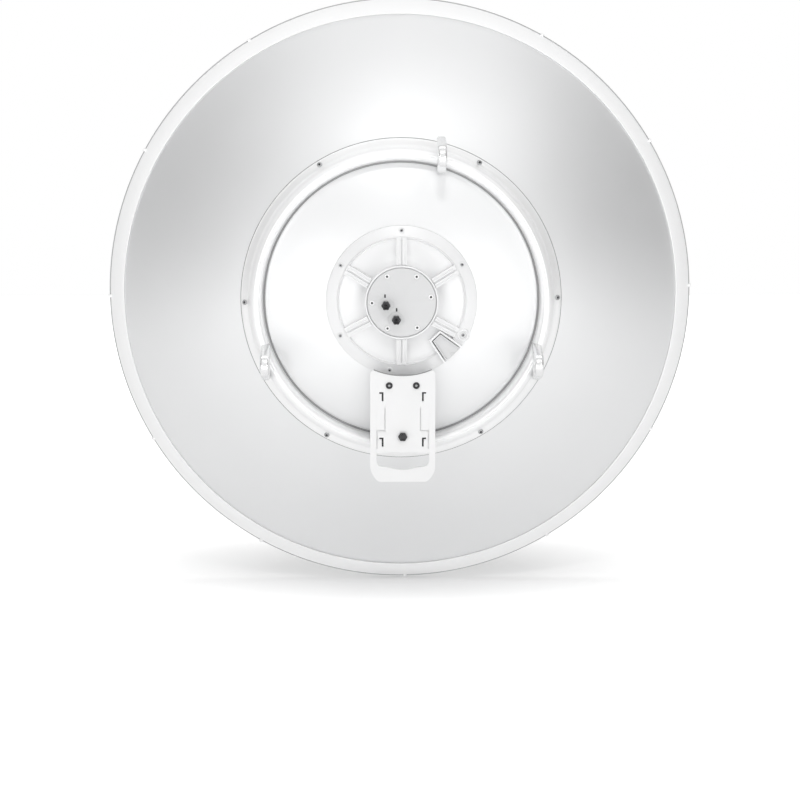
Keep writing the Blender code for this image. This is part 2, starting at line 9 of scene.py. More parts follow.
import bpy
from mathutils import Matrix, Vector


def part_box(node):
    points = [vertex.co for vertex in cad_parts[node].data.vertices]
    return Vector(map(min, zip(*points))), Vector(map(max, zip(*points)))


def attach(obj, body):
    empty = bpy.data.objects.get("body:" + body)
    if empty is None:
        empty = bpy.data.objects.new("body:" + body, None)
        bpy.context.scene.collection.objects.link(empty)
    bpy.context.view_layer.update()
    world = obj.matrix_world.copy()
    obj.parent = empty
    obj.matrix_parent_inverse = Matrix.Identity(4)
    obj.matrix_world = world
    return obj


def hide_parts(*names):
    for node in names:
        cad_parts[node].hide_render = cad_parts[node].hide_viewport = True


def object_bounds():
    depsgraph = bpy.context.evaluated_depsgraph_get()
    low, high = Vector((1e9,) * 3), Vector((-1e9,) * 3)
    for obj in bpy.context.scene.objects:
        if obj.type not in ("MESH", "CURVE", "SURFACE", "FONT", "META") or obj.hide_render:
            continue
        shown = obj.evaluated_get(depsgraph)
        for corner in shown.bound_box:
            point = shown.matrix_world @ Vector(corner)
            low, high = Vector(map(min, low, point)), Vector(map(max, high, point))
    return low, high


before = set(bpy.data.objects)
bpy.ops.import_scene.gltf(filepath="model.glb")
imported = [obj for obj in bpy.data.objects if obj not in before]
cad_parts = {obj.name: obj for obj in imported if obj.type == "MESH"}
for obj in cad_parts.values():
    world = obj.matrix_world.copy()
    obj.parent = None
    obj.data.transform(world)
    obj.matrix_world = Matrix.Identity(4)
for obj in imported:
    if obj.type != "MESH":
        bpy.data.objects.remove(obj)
cad_low, cad_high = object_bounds()
print("frame from", tuple(cad_low), "to", tuple(cad_high))

# %% [markdown]
# Nearly everything here is turned round one line, the dish axis. The bowl's own box gives it:
# its middle in X and Z, and in Y the place where the bowl's back would reach the axis. The
# back is a paraboloid, so its depth at any radius follows from the focal length alone.

# %% The dish axis and the bowl's curve
import math

import bpy
from mathutils import Matrix, Vector

FOCUS = 0.247
BOWL_HOLE_R = 0.066

bowl_low, bowl_high = (Vector(corner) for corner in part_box("reflector_bowl"))
AXIS = Vector(
    (
        (bowl_low.x + bowl_high.x) / 2,
        bowl_low.y - BOWL_HOLE_R**2 / (4 * FOCUS),
        (bowl_low.z + bowl_high.z) / 2,
    )
)


def bowl_back(radius):
    """Depth of the bowl's back surface at this radius."""
    return radius * radius / (4 * FOCUS)


def dish(x, y, z):
    """A point given from the middle of the bowl's back: right, forward, up."""
    return AXIS + Vector((x, y, z))


def off_bowl(radius, lift):
    """A section point this far behind the bowl's back surface."""
    return (radius, bowl_back(radius) - lift)


print("dish axis through", tuple(round(part, 4) for part in AXIS))

# %% [markdown]
# A turned part is drawn the way a lathe operator thinks of it: half of its section, then one
# turn. In Blender that is a single vertex, extruded from point to point and spun. The vertex
# comes from a tiny plane whose corners are merged. A closed outline makes a solid, an open one
# makes a skin that Solidify thickens.

# %% Section lines and spinning
TURN_STEPS = 192
TINY = 0.00002
SMOOTH_BELOW = math.radians(40.0)


def start_line(first):
    """Starts a new object as one vertex, in edit mode."""
    bpy.ops.object.select_all(action="DESELECT")
    bpy.ops.mesh.primitive_plane_add(size=0.001, location=first)
    bpy.ops.object.mode_set(mode="EDIT")
    bpy.ops.mesh.merge(type="CENTER")


def draw_line(points):
    """Extrudes the last vertex from point to point."""
    for here, there in zip(points, points[1:]):
        bpy.ops.mesh.extrude_vertices_move(
            TRANSFORM_OT_translate={"value": there - here}
        )


def merge_all():
    """Merges the points that lie on top of each other, in edit mode."""
    bpy.ops.mesh.select_all(action="SELECT")
    bpy.ops.mesh.remove_doubles(threshold=TINY)


def finish_shape(name):
    """Back to object mode, with the place worked into the mesh."""
    bpy.ops.object.mode_set(mode="OBJECT")
    bpy.ops.object.transform_apply(location=True, rotation=True, scale=True)
    piece = bpy.context.object
    piece.name = name
    piece.data.name = name
    return piece


def turned(name, section, steps=TURN_STEPS, closed=True, axis_x=0.0, axis_z=0.0):
    """Spins a section of (radius, forward) points round the dish axis, or a line beside it."""
    outline = [dish(axis_x + r, y, axis_z) for r, y in section]
    if closed:
        outline.append(outline[0])
    start_line(outline[0])
    draw_line(outline)
    merge_all()
    bpy.ops.mesh.select_all(action="SELECT")
    bpy.ops.mesh.spin(
        steps=steps, angle=math.tau, center=dish(axis_x, 0, axis_z), axis=(0, 1, 0)
    )
    merge_all()
    bpy.ops.mesh.normals_make_consistent(inside=False)
    return finish_shape(name)


def apply_modifier(piece, modifier):
    """Works a modifier into the mesh."""
    bpy.ops.object.select_all(action="DESELECT")
    bpy.context.view_layer.objects.active = piece
    piece.select_set(True)
    bpy.ops.object.modifier_apply(modifier=modifier.name)


def smoothed(piece):
    """Smooths the shading of the selected piece, except over its sharper edges."""
    bpy.ops.object.shade_smooth_by_angle(angle=SMOOTH_BELOW)
    return piece


def rounded(piece, width, segments=3, angle=32.0):
    """Rounds every edge sharper than the angle, then smooths the shading."""
    step = piece.modifiers.new("Round edges", "BEVEL")
    step.width = width
    step.segments = segments
    step.limit_method = "ANGLE"
    step.angle_limit = math.radians(angle)
    apply_modifier(piece, step)
    return smoothed(piece)


def thickened(piece, wall):
    """Gives a skin its wall, on the side away from its normals."""
    step = piece.modifiers.new("Wall", "SOLIDIFY")
    step.thickness = wall
    step.offset = -1.0
    step.use_even_offset = True
    apply_modifier(piece, step)
    return piece


print("a full turn takes", TURN_STEPS, "steps")

# %% [markdown]
# Flat parts start as an outline too. The outline is filled and pulled out to its thickness,
# which is how a plate, a rib or a lug is cut and pressed. Holes and slots are cut with a
# Boolean modifier, and a second body can be joined the same way. A cutter is deleted once it
# has cut.

# %% Plates, cuts and joins


def plate(name, outline, pull):
    """A closed outline of points, filled and pulled along a vector."""
    start_line(outline[0])
    draw_line([*outline, outline[0]])
    merge_all()
    bpy.ops.mesh.edge_face_add()
    bpy.ops.mesh.select_all(action="SELECT")
    bpy.ops.mesh.extrude_region_move(TRANSFORM_OT_translate={"value": pull})
    bpy.ops.mesh.select_all(action="SELECT")
    bpy.ops.mesh.normals_make_consistent(inside=False)
    return finish_shape(name)


def facing_back(name, outline, back, thick):
    """A plate seen from behind: (x, z) points, from its back face forward."""
    return plate(name, [dish(x, back, z) for x, z in outline], Vector((0, thick, 0)))


def facing_side(name, outline, x, thick):
    """A plate seen from the side: (y, z) points, centred on x."""
    start = x - thick / 2
    return plate(name, [dish(start, y, z) for y, z in outline], Vector((thick, 0, 0)))


def combined(piece, tool, operation="DIFFERENCE"):
    """Cuts with a second shape, or joins it on, and deletes it."""
    step = piece.modifiers.new(operation.title(), "BOOLEAN")
    step.operation = operation
    step.solver = "EXACT"
    step.object = tool
    apply_modifier(piece, step)
    bpy.data.objects.remove(tool, do_unlink=True)
    bpy.ops.object.mode_set(mode="EDIT")
    merge_all()
    bpy.ops.object.mode_set(mode="OBJECT")
    return piece


def arc(centre, radius, start, end, count):
    """Points on a circle in the plate's own plane, angles in degrees."""
    turns = [math.radians(start + (end - start) * step / count) for step in range(count + 1)]
    return [
        (centre[0] + radius * math.cos(turn), centre[1] + radius * math.sin(turn))
        for turn in turns
    ]


def rod(name, middle, radius, length, turn, sides):
    """A plain round bar, used as a cutter or a core."""
    bpy.ops.object.select_all(action="DESELECT")
    bpy.ops.mesh.primitive_cylinder_add(
        vertices=sides, radius=radius, depth=length, location=middle, rotation=turn
    )
    return finish_shape(name)


def rod_along_y(name, x, z, radius, start, end, sides=32):
    """A bar along the dish axis."""
    middle = dish(x, (start + end) / 2, z)
    return rod(name, middle, radius, end - start, (math.pi / 2, 0, 0), sides)


def rod_along_x(name, y, z, radius, start, end, sides=32):
    """A bar across the dish."""
    middle = dish((start + end) / 2, y, z)
    return rod(name, middle, radius, end - start, (0, math.pi / 2, 0), sides)


def turn_round_axis(piece, clockwise):
    """Turns a piece's mesh round the dish axis, clockwise as seen from behind."""
    piece.data.transform(
        Matrix.Translation(AXIS)
        @ Matrix.Rotation(clockwise, 4, "Y")
        @ Matrix.Translation(-AXIS)
    )
    return piece


def copy_of(piece, name):
    """The same shape again, with a mesh of its own."""
    made = piece.copy()
    made.data = piece.data.copy()
    made.name = name
    made.data.name = name
    bpy.context.scene.collection.objects.link(made)
    return made


print("plates are cut with an exact Boolean, and points closer than", TINY, "m are merged")

# %% [markdown]
# The finishes come before the shapes, so that each piece can take its finish as it is made.
# All of them are sprayed or moulded surfaces that look plain from a metre away and are not:
# powder coat dries with a fine orange peel, its gloss drifts a little, and moulded plastic
# carries the spark-eroded grain of its tool. A noise on the object's own coordinates drives
# the bump, the gloss and a trace of colour, so the grain stays on the piece from every side.

# %% Parts that the finishes share


def plug(tree, node, sockets):
    """Sets each named socket of a node, or links it where the value is another's output."""
    for name, value in sockets.items():
        if isinstance(value, bpy.types.NodeSocket):
            tree.links.new(value, node.inputs[name])
        else:
            node.inputs[name].default_value = value
    return node


def add(tree, kind, sockets, **choices):
    """A new node with its choices made and its sockets set or linked."""
    node = tree.nodes.new("ShaderNode" + kind)
    for name, value in choices.items():
        setattr(node, name, value)
    return plug(tree, node, sockets)


def new_finish(name):
    """A material, its tree, its shader and the object coordinates."""
    made = bpy.data.materials.new(name)
    made.use_nodes = True
    tree = made.node_tree
    place = tree.nodes.new("ShaderNodeTexCoord").outputs["Object"]
    return made, tree, tree.nodes["Principled BSDF"], place


def noise_on(tree, place, size, detail):
    """A noise whose spots are about this many metres across."""
    sockets = {"Scale": 1.0 / size, "Detail": detail, "Vector": place}
    return add(tree, "TexNoise", sockets).outputs["Fac"]


def mapped(tree, value, start, end, low, high, fade="LINEAR"):
    """A number that runs from low to high while the value runs from start to end."""
    sockets = {"Value": value, "From Min": start, "From Max": end, "To Min": low, "To Max": high}
    return add(tree, "MapRange", sockets, interpolation_type=fade).outputs["Result"]


def tint(tree, value, dark, light):
    """A colour that drifts between two near tones."""
    node = add(tree, "ValToRGB", {"Fac": value})
    node.color_ramp.interpolation = "EASE"
    for stop, part, tone in zip(node.color_ramp.elements, (0.25, 0.75), (dark, light)):
        stop.position = part
        stop.color = (*tone, 1.0)
    return node.outputs["Color"]


TINT_SPOTS, GLOSS_SPOTS = 0.090, 0.040


def coated(name, dark, light, gloss, peel, peel_height, metal=0.0):
    """A sprayed or moulded finish: two near tones, a drifting gloss and a fine relief."""
    made, tree, shader, place = new_finish(name)
    relief = {"Height": noise_on(tree, place, peel, 3.0), "Distance": peel_height, "Strength": 0.5}
    sockets = {
        "Metallic": metal,
        "Base Color": tint(tree, noise_on(tree, place, TINT_SPOTS, 1.0), dark, light),
        "Roughness": mapped(tree, noise_on(tree, place, GLOSS_SPOTS, 1.0), 0.3, 0.7, *gloss),
        "Normal": add(tree, "Bump", relief).outputs["Normal"],
    }
    plug(tree, shader, sockets)
    print(name)
    return made


# %% [markdown]
# The dish has more finishes than it seems to at first. The bowl wears a pearl paint, a white
# with metal flakes that mirrors softly, and so do the lugs. The band and the ring are a
# plainer white, the hub and the bracket are moulded plastic, the hub under a thin coat of the
# pearl. Each finish is one call: darker tone, lighter tone, gloss, grain and its height. The
# metal value says how much of the light comes back as a mirror's, tinted by the paint.

# %% The finishes
BOWL_COAT = coated(
    "bowl_pearl_coat", (0.836, 0.840, 0.844), (0.842, 0.846, 0.850), (0.470, 0.485),
    0.0030, 0.000010, metal=0.85,
)
EDGE_COAT = coated(
    "edge_white_coat", (0.940, 0.941, 0.943), (0.946, 0.947, 0.949), (0.42, 0.44),
    0.0026, 0.000010,
)
WHITE_COAT = coated(
    "ring_white_coat", (0.952, 0.953, 0.955), (0.960, 0.961, 0.963), (0.30, 0.32),
    0.0026, 0.000010, metal=0.38,
)
LUG_SILVER = coated(
    "lug_silver_paint", (0.880, 0.882, 0.885), (0.888, 0.890, 0.893), (0.24, 0.27),
    0.0026, 0.000010, metal=0.85,
)
HUB_MOULDING = coated(
    "hub_moulding_plastic", (0.856, 0.858, 0.862), (0.864, 0.866, 0.870), (0.34, 0.37),
    0.0009, 0.000012,
)
HUB_PEARL = coated(
    "hub_pearl_paint", (0.826, 0.828, 0.832), (0.834, 0.836, 0.840), (0.40, 0.42),
    0.0009, 0.000010, metal=0.23,
)
BRACKET_MOULDING = coated(
    "bracket_moulding_plastic", (0.846, 0.847, 0.849), (0.854, 0.855, 0.857), (0.40, 0.43),
    0.0009, 0.000012,
)
PLATE_GREY = coated(
    "plate_grey_coat", (0.680, 0.683, 0.687), (0.688, 0.691, 0.695), (0.45, 0.48),
    0.0008, 0.000010,
)
# Painted shade: a grey for the thin ring that stands in for the shaded roll of the band's edge.
EDGE_SHADE_GREY = coated(
    "painted_edge_shade_grey", (0.470, 0.473, 0.477), (0.478, 0.481, 0.485), (0.40, 0.44),
    0.0012, 0.000008,
)
# Painted shade: a grey for thin pieces that stand in for the shadow in the joint under the ring
# and in the gap along the bracket's hollow edge.
JOINT_SHADE_GREY = coated(
    "painted_joint_shade_grey", (0.300, 0.302, 0.305), (0.310, 0.312, 0.315), (0.60, 0.66),
    0.0008, 0.000010,
)
# Painted shade: a black for the sheets that stand in for the shadow inside the bracket's slots.
SLOT_SHADE_BLACK = coated(
    "painted_slot_shade_black", (0.050, 0.050, 0.052), (0.060, 0.060, 0.062), (0.60, 0.66),
    0.0008, 0.000010,
)
DARK_NICKEL = coated(
    "socket_dark_nickel", (0.045, 0.045, 0.048), (0.065, 0.065, 0.068), (0.28, 0.36),
    0.0012, 0.000010, metal=0.85,
)
# Zinc for the screws, also used as a painted highlight in the upper bracket bolts' recesses.
ZINC_AND_HIGHLIGHT = coated(
    "screw_zinc_and_highlight", (0.420, 0.425, 0.430), (0.480, 0.485, 0.490), (0.30, 0.40),
    0.0015, 0.000010, metal=0.9,
)
# Dark steel for the bolts, also used as painted shade at the bottom of the screw recesses.
DARK_STEEL_AND_SHADE = coated(
    "bolt_dark_steel_and_recess_shade", (0.050, 0.050, 0.052), (0.075, 0.075, 0.078), (0.30, 0.40),
    0.0015, 0.000010, metal=0.8,
)

# %% [markdown]
# Every finished piece has the same four things said about it: its material, the body it rides
# on, the CAD node it stands for, and the material slot that the record gives that node. Most
# turned pieces are then one call: section, edge width, finish, slot and node.

# %% Handing a piece over


def hand_over(piece, finish, slot, *nodes):
    """Gives a finished piece its material and its place in the frame."""
    piece.data.materials.clear()
    piece.data.materials.append(finish)
    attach(piece, "root")
    if nodes:
        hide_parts(*nodes)
    print(piece.name, len(piece.data.polygons), "faces")
    return piece


def lathe(name, section, width, finish, slot, *nodes, segments=3, angle=32.0, steps=TURN_STEPS):
    """Turns a piece from its section, rounds its edges and hands it over."""
    piece = rounded(turned(name, section, steps), width, segments, angle)
    return hand_over(piece, finish, slot, *nodes)


# %% [markdown]
# The bowl is spun from one sheet, 2 mm thick, over a former. It is a skin with an even wall,
# so its section is two lines a sheet apart: the back parabola out, the front one home. Many
# short steps keep the sheen on it unbroken, which is the first thing the eye checks on a dish.
# A sphere cut in half would be quicker, but it would focus, and gleam, in the wrong place.

# %% The bowl
BOWL_R = 0.3570
SHEET = 0.002
BOWL_STATIONS = 56


def bowl_front(radius):
    """Depth of the bowl's front surface, a sheet away from the back."""
    return bowl_back(radius) + SHEET * math.hypot(1.0, radius / (2 * FOCUS))


def along(start, end, count):
    """Even steps from start to end, both kept."""
    return [start + (end - start) * i / count for i in range(count + 1)]


bowl_radii = along(BOWL_HOLE_R, BOWL_R, BOWL_STATIONS)
lathe(
    "bowl_spinning",
    [(r, bowl_back(r)) for r in bowl_radii] + [(r, bowl_front(r)) for r in reversed(bowl_radii)],
    0.0004, BOWL_COAT, "pearl_paint", "reflector_bowl", segments=2, angle=60.0,
)

# %% [markdown]
# The edge band grips the bowl's lip in a slot and flares out steeper than the bowl. Its toe
# laps over the bowl as a step the thickness of the strip that it is rolled from. A thin grey
# ring on its free edge is painted shade. It stands in for the shaded roll of the edge, and from
# behind it shows as a hairline round the whole dish.

# %% The edge band
TOE_R = 0.3540
BAND_TOE_THICK = 0.0022
BAND_FRONT_Y = 0.152
BAND_R = 0.3734
RIM_R = 0.3750
GAP = 0.0003

toe_back = bowl_back(TOE_R)
toe_front = bowl_front(TOE_R)
slot_end = BOWL_R + GAP
lathe(
    "edge_band",
    [
        (TOE_R, toe_back - GAP), (TOE_R + 0.0002, toe_back - BAND_TOE_THICK + 0.0004),
        (TOE_R + 0.0010, toe_back - BAND_TOE_THICK),
        (0.3640, 0.1366), (BAND_R, 0.1482), (BAND_R, BAND_FRONT_Y - 0.0004),
        (0.3702, BAND_FRONT_Y - 0.0002), (0.3690, BAND_FRONT_Y - 0.0008),
        (TOE_R + 0.0006, toe_front + BAND_TOE_THICK), (TOE_R, toe_front + GAP),
        (slot_end, bowl_front(slot_end) + GAP), (slot_end, bowl_back(slot_end) - GAP),
    ],
    0.0003, EDGE_COAT, "white_paint", "rim_band", segments=2,
)

# Painted shade: a thin grey ring on the band's edge for its shaded roll, seen as a hairline.
shade_edge_arc = arc((RIM_R - 0.0010, BAND_FRONT_Y - 0.0010), 0.0010, -90.0, 90.0, 10)
edge_shade = turned(
    "edge_painted_shade",
    [
        (BAND_R + 0.0001, BAND_FRONT_Y - 0.0032), (RIM_R - 0.0008, BAND_FRONT_Y - 0.0028),
        *shade_edge_arc,
        (BAND_R + 0.0001, BAND_FRONT_Y),
    ],
)
smoothed(edge_shade)
hand_over(edge_shade, EDGE_SHADE_GREY, "white_paint")

# %% [markdown]
# The mounting ring is pressed from sheet: a flat outer flange that the ring bolts go through,
# a wall, a round crown with a fine seam along it, and a steeper wall back to the bowl. Only
# its outer line is drawn, as heights above the bowl, and spun into a skin. Solidify then gives
# the skin its 2.2 mm wall, on the inside. A thin grey ring under it is painted shade. It stands
# in for the shadow in the joint with the bowl and shows as a dark hairline on both sides of it.

# %% The mounting ring
RING_WALL = 0.0022

RING_LINE = (
    (0.2004, 0.0004), (0.2003, 0.0022), (0.1997, 0.0030), (0.1960, 0.0038), (0.1922, 0.0046),
    (0.1911, 0.0055), (0.1906, 0.0075), (0.1900, 0.0120), (0.1892, 0.0165), (0.1878, 0.0200),
    (0.1858, 0.0221), (0.1840, 0.0229), (0.1829, 0.0229), (0.1823, 0.0224), (0.1818, 0.0221),
    (0.1813, 0.0224), (0.1807, 0.0228), (0.1794, 0.0224), (0.1778, 0.0211), (0.1764, 0.0190),
    (0.1753, 0.0160), (0.1746, 0.0125), (0.1739, 0.0085), (0.1733, 0.0048), (0.1728, 0.0022),
    (0.1724, 0.0004),
)


def faced_back(piece):
    """Turns an open skin so that its faces look back, away from the bowl."""
    if sum(face.normal.y * face.area for face in piece.data.polygons) > 0:
        bpy.ops.object.mode_set(mode="EDIT")
        bpy.ops.mesh.select_all(action="SELECT")
        bpy.ops.mesh.flip_normals()
        bpy.ops.object.mode_set(mode="OBJECT")
    return piece


ring = turned("ring_pressing", [off_bowl(r, lift) for r, lift in RING_LINE], closed=False)
faced_back(ring)
thickened(ring, RING_WALL)
smoothed(ring)
hand_over(ring, WHITE_COAT, "white_paint", "mount_ring")

# Painted shade: a thin grey ring under the ring's feet, for the shadow in the joint.
SHADE_RING_IN_R, SHADE_RING_OUT_R = 0.1702, 0.2012
SHADE_RING_FACE, SHADE_RING_THICK = 0.0002, 0.0010

shade_ring_radii = along(SHADE_RING_IN_R, SHADE_RING_OUT_R, 12)
lathe(
    "ring_joint_painted_shade",
    [off_bowl(r, SHADE_RING_FACE) for r in shade_ring_radii]
    + [off_bowl(r, SHADE_RING_THICK) for r in reversed(shade_ring_radii)],
    0.0003, JOINT_SHADE_GREY, "grey_casting", segments=2, angle=60.0,
)

# %% [markdown]
# Three upright lugs stand astride the ring, each with a cross hole for a bolt of the mast
# bracket. A lug is cut from thick plate, so it starts as an outline seen from the side. Its
# long edges are rounded by a wide bevel, and only then is the hole bored, so that the hole
# keeps a narrow edge of its own.

# %% The three lugs
LUG_THICK = 0.011
LUG_FOOT_Y = 0.024
LUG_BASE_HALF = 0.023
LUG_NOSE_R = 0.0150
LUG_HOLE_R = 0.0055
LUG_HOLE_Y = -0.023
LUG_FOOT_TALL = 0.012
LUG_DRAFT = 0.0005

LUGS = (("top", 0.0495, 0.180), ("left", -0.1690, -0.0770), ("right", 0.1690, -0.0770))

for side, x, z in LUGS:
    nose = arc((LUG_HOLE_Y, z), LUG_NOSE_R, 100.0, 260.0, 20)
    outline = [
        (LUG_FOOT_Y, z + LUG_BASE_HALF),
        (LUG_FOOT_Y - LUG_FOOT_TALL, z + LUG_BASE_HALF - LUG_DRAFT),
        *nose,
        (LUG_FOOT_Y - LUG_FOOT_TALL, z - LUG_BASE_HALF + LUG_DRAFT),
        (LUG_FOOT_Y, z - LUG_BASE_HALF),
    ]
    lug = facing_side(f"lug_plate_{side}", outline, x, LUG_THICK)
    rounded(lug, 0.0030, 5)
    bore = rod_along_x("bore", LUG_HOLE_Y, z, LUG_HOLE_R, x - LUG_THICK, x + LUG_THICK, 48)
    combined(lug, bore)
    rounded(lug, 0.0005, 2, angle=50.0)
    hand_over(lug, LUG_SILVER, "white_paint", f"lug_{side}")

# %% [markdown]
# The hub is one moulding under a pearl paint: a thin flange that lies on the bowl, a narrow
# step down, and panels that climb to the collar, gently at first and steeply at its foot. The
# curve shades the panels toward the collar, which a straight cone wouldn't. The section is
# drawn round, from the flange's edge over the panels to the bore and home along the bowl.

# %% The hub moulding
FLANGE_R = 0.094
STEP_R = 0.0775
COLLAR_R = 0.0463
PLATE_R = 0.0424
HUB_BACK_Y = -0.0150
HUB_BORE_R = 0.030
PLATE_THICK = 0.003
PANEL_FOOT_Y = 0.0050
PANEL_CLIMB = 0.0090
PANEL_EVEN_SHARE = 0.3
HUB_WALL = 0.0040


def panel_back(radius):
    """Depth of the panels' back between the step and the collar."""
    way = (STEP_R - radius) / (STEP_R - COLLAR_R)
    even, curved = PANEL_EVEN_SHARE * way, (1.0 - PANEL_EVEN_SHARE) * way**3
    return PANEL_FOOT_Y - (even + curved) * PANEL_CLIMB


hub_floor = panel_back(COLLAR_R)
panel_radii = along(STEP_R - 0.0022, COLLAR_R, 8)
lathe(
    "hub_moulding",
    [
        off_bowl(FLANGE_R, GAP), off_bowl(FLANGE_R - 0.0004, 0.0024),
        off_bowl(STEP_R + 0.0030, 0.0038), (STEP_R + 0.0016, 0.0013), (STEP_R - 0.0001, 0.0051),
        (STEP_R - 0.0008, 0.0054),
        *[(r, panel_back(r)) for r in panel_radii],
        (HUB_BORE_R, hub_floor), (HUB_BORE_R, hub_floor + HUB_WALL),
        (COLLAR_R - 0.0040, hub_floor + HUB_WALL), (BOWL_HOLE_R - 0.0020, 0.0054),
        (BOWL_HOLE_R - 0.0015, bowl_back(BOWL_HOLE_R) - GAP),
    ],
    0.0005, HUB_PEARL, "white_plastic", "hub_flange", angle=20.0,
)

# %% [markdown]
# The collar is a low white ring that frames the plate, with a flat, narrow crest. The plate
# sits inside it, a hair lower, with a shadow gap all round. Both are turned sections.

# %% The collar and the plate
CREST_Y = HUB_BACK_Y - 0.0008
CREST_OUT_R, CREST_IN_R = 0.0456, 0.0433

collar_foot = hub_floor - GAP
under_plate = HUB_BACK_Y + PLATE_THICK + GAP
lathe(
    "hub_collar_ring",
    [
        (COLLAR_R - 0.0004, collar_foot),
        (CREST_OUT_R, CREST_Y + 0.0012), (CREST_OUT_R - 0.0006, CREST_Y),
        (CREST_IN_R + 0.0004, CREST_Y), (CREST_IN_R, CREST_Y + 0.0008),
        (CREST_IN_R, under_plate), (PLATE_R - 0.0040, under_plate),
        (PLATE_R - 0.0040, collar_foot),
    ],
    0.0004, HUB_MOULDING, "white_plastic", "hub_collar",
)


def disc(name, radius, back, front, width, segments, **where):
    """A flat round plate with rounded edges."""
    section = [(0.0, back), (radius, back), (radius, front), (0.0, front)]
    return rounded(turned(name, section, **where), width, segments)


plate_disc = disc("plate_disc", PLATE_R, HUB_BACK_Y, HUB_BACK_Y + PLATE_THICK, 0.0005, 3)
print("plate ready for its pockets")

# %% [markdown]
# The plate's screws sit in shallow round seats, cut with a short bar. Beside each socket the
# plate has a small upright oblong window, which is a pill-shaped pocket with a dark insert at
# its bottom. A painted spot would look flat from the side, and a pocket keeps its own shadow.

# %% Pockets in the plate
PLATE_SCREW_R = 0.0367
PLATE_SCREW_ANGLES = (-29.5, 30.2, 79.7, 148.6, 208.5, 268.8)
SEAT_R = 0.0035
SEAT_DEPTH = 0.0009
SOCKETS = (("upper", -0.0196, -0.0032), ("lower", -0.0067, -0.0211))
WINDOWS = (("upper", -0.0206, 0.0078), ("lower", -0.0063, -0.0092))
WINDOW_HALF_WIDE = 0.0011
WINDOW_HALF_TALL = 0.0024
WINDOW_DEPTH = 0.0010
INSERT_THICK = 0.0006
CUT_ABOVE = 0.001


def on_ring(radius, degrees):
    """The (x, z) point this many degrees clockwise from the top, seen from behind."""
    turn = math.radians(degrees)
    return radius * math.sin(turn), radius * math.cos(turn)


def pill(x, z, half_wide, half_tall, count=10):
    """An upright pill outline."""
    straight = half_tall - half_wide
    return arc((x, z + straight), half_wide, 0.0, 180.0, count) + arc(
        (x, z - straight), half_wide, 180.0, 360.0, count
    )


for degrees in PLATE_SCREW_ANGLES:
    x, z = on_ring(PLATE_SCREW_R, degrees)
    seat = rod_along_y("seat", x, z, SEAT_R, HUB_BACK_Y - CUT_ABOVE, HUB_BACK_Y + SEAT_DEPTH)
    combined(plate_disc, seat)
for side, x, z in WINDOWS:
    pocket = facing_back(
        "pocket",
        pill(x, z, WINDOW_HALF_WIDE, WINDOW_HALF_TALL),
        HUB_BACK_Y - CUT_ABOVE,
        CUT_ABOVE + WINDOW_DEPTH,
    )
    combined(plate_disc, pocket)
rounded(plate_disc, 0.00025, 2, angle=50.0)
hand_over(plate_disc, PLATE_GREY, "grey_casting", "connector_plate")

for side, x, z in WINDOWS:
    insert = facing_back(
        f"plate_window_{side}",
        pill(x, z, WINDOW_HALF_WIDE - 0.0001, WINDOW_HALF_TALL - 0.0001),
        HUB_BACK_Y + WINDOW_DEPTH - INSERT_THICK,
        INSERT_THICK,
    )
    rounded(insert, 0.0001, 2)
    hand_over(insert, DARK_NICKEL, "nickel_plate")

# %% [markdown]
# The two sockets show as dark fluted caps on thin round washers. The cap has six soft lobes,
# so its outline is a circle whose radius swells six times round. The end is bored, and a thin
# pin stands in the bore.

# %% The coaxial sockets
WASHER_R = 0.0092
WASHER_THICK = 0.0007
CAP_R = 0.0052
CAP_LOBE = 0.0004
CAP_LENGTH = 0.0130
CAP_BORE_R = 0.0034
CAP_BORE_DEPTH = 0.0060
CAP_FACETS, CAP_LOBES = 72, 6
PIN_R = 0.0007

face = HUB_BACK_Y - GAP
cap_end = face - CAP_LENGTH
pin_foot = cap_end + CAP_BORE_DEPTH + 0.001
for side, x, z in SOCKETS:
    washer = disc(
        f"socket_washer_{side}", WASHER_R, face, face - WASHER_THICK, 0.0002, 2,
        steps=48, axis_x=x, axis_z=z,
    )
    hand_over(washer, PLATE_GREY, "nickel_plate")

    lobes = []
    for step in range(CAP_FACETS):
        turn = math.tau * step / CAP_FACETS
        radius = CAP_R + CAP_LOBE * math.cos(CAP_LOBES * turn)
        lobes.append((x + radius * math.cos(turn), z + radius * math.sin(turn)))
    cap = facing_back(f"socket_cap_{side}", lobes, cap_end, CAP_LENGTH - WASHER_THICK)
    bore = rod_along_y("bore", x, z, CAP_BORE_R, cap_end - 0.002, cap_end + CAP_BORE_DEPTH)
    combined(cap, bore)
    pin = turned(
        "pin",
        [(0.0, pin_foot), (PIN_R, pin_foot), (PIN_R, cap_end + 0.0016), (0.0, cap_end + 0.0010)],
        steps=16,
        axis_x=x,
        axis_z=z,
    )
    combined(cap, pin, "UNION")
    rounded(cap, 0.0004, 2, angle=40.0)
    hand_over(cap, DARK_NICKEL, "nickel_plate", f"connector_{side}")

# %% [markdown]
# Six ribs run from the collar out over the step, sixty degrees apart. Each is two ridges with
# a lower web between them, and a narrow channel runs along each ridge. One rib is modelled at
# the top of the hub: ridges and web are cut from side outlines and joined, and the channels
# are cut into the crests. A turned cutter just under the hub's skin takes off what would reach
# inside. The six ribs are copies of it turned round the dish axis.

# %% The ribs
RIB_COUNT = 6
RIDGE = 0.0054
RIB_GROOVE = 0.0022
RIB_END_R = STEP_R + 0.0018
RIB_INNER_R = COLLAR_R - 0.0003
CREST_AT_COLLAR, CREST_AT_STEP = -0.0131, 0.0
GROOVE_DEPTH = 0.0034
CHANNEL, CHANNEL_DEPTH = 0.0022, 0.0011
UNDER = 0.0006
RIB_FOOT_Y = 0.012
ROOM_Y = -0.030


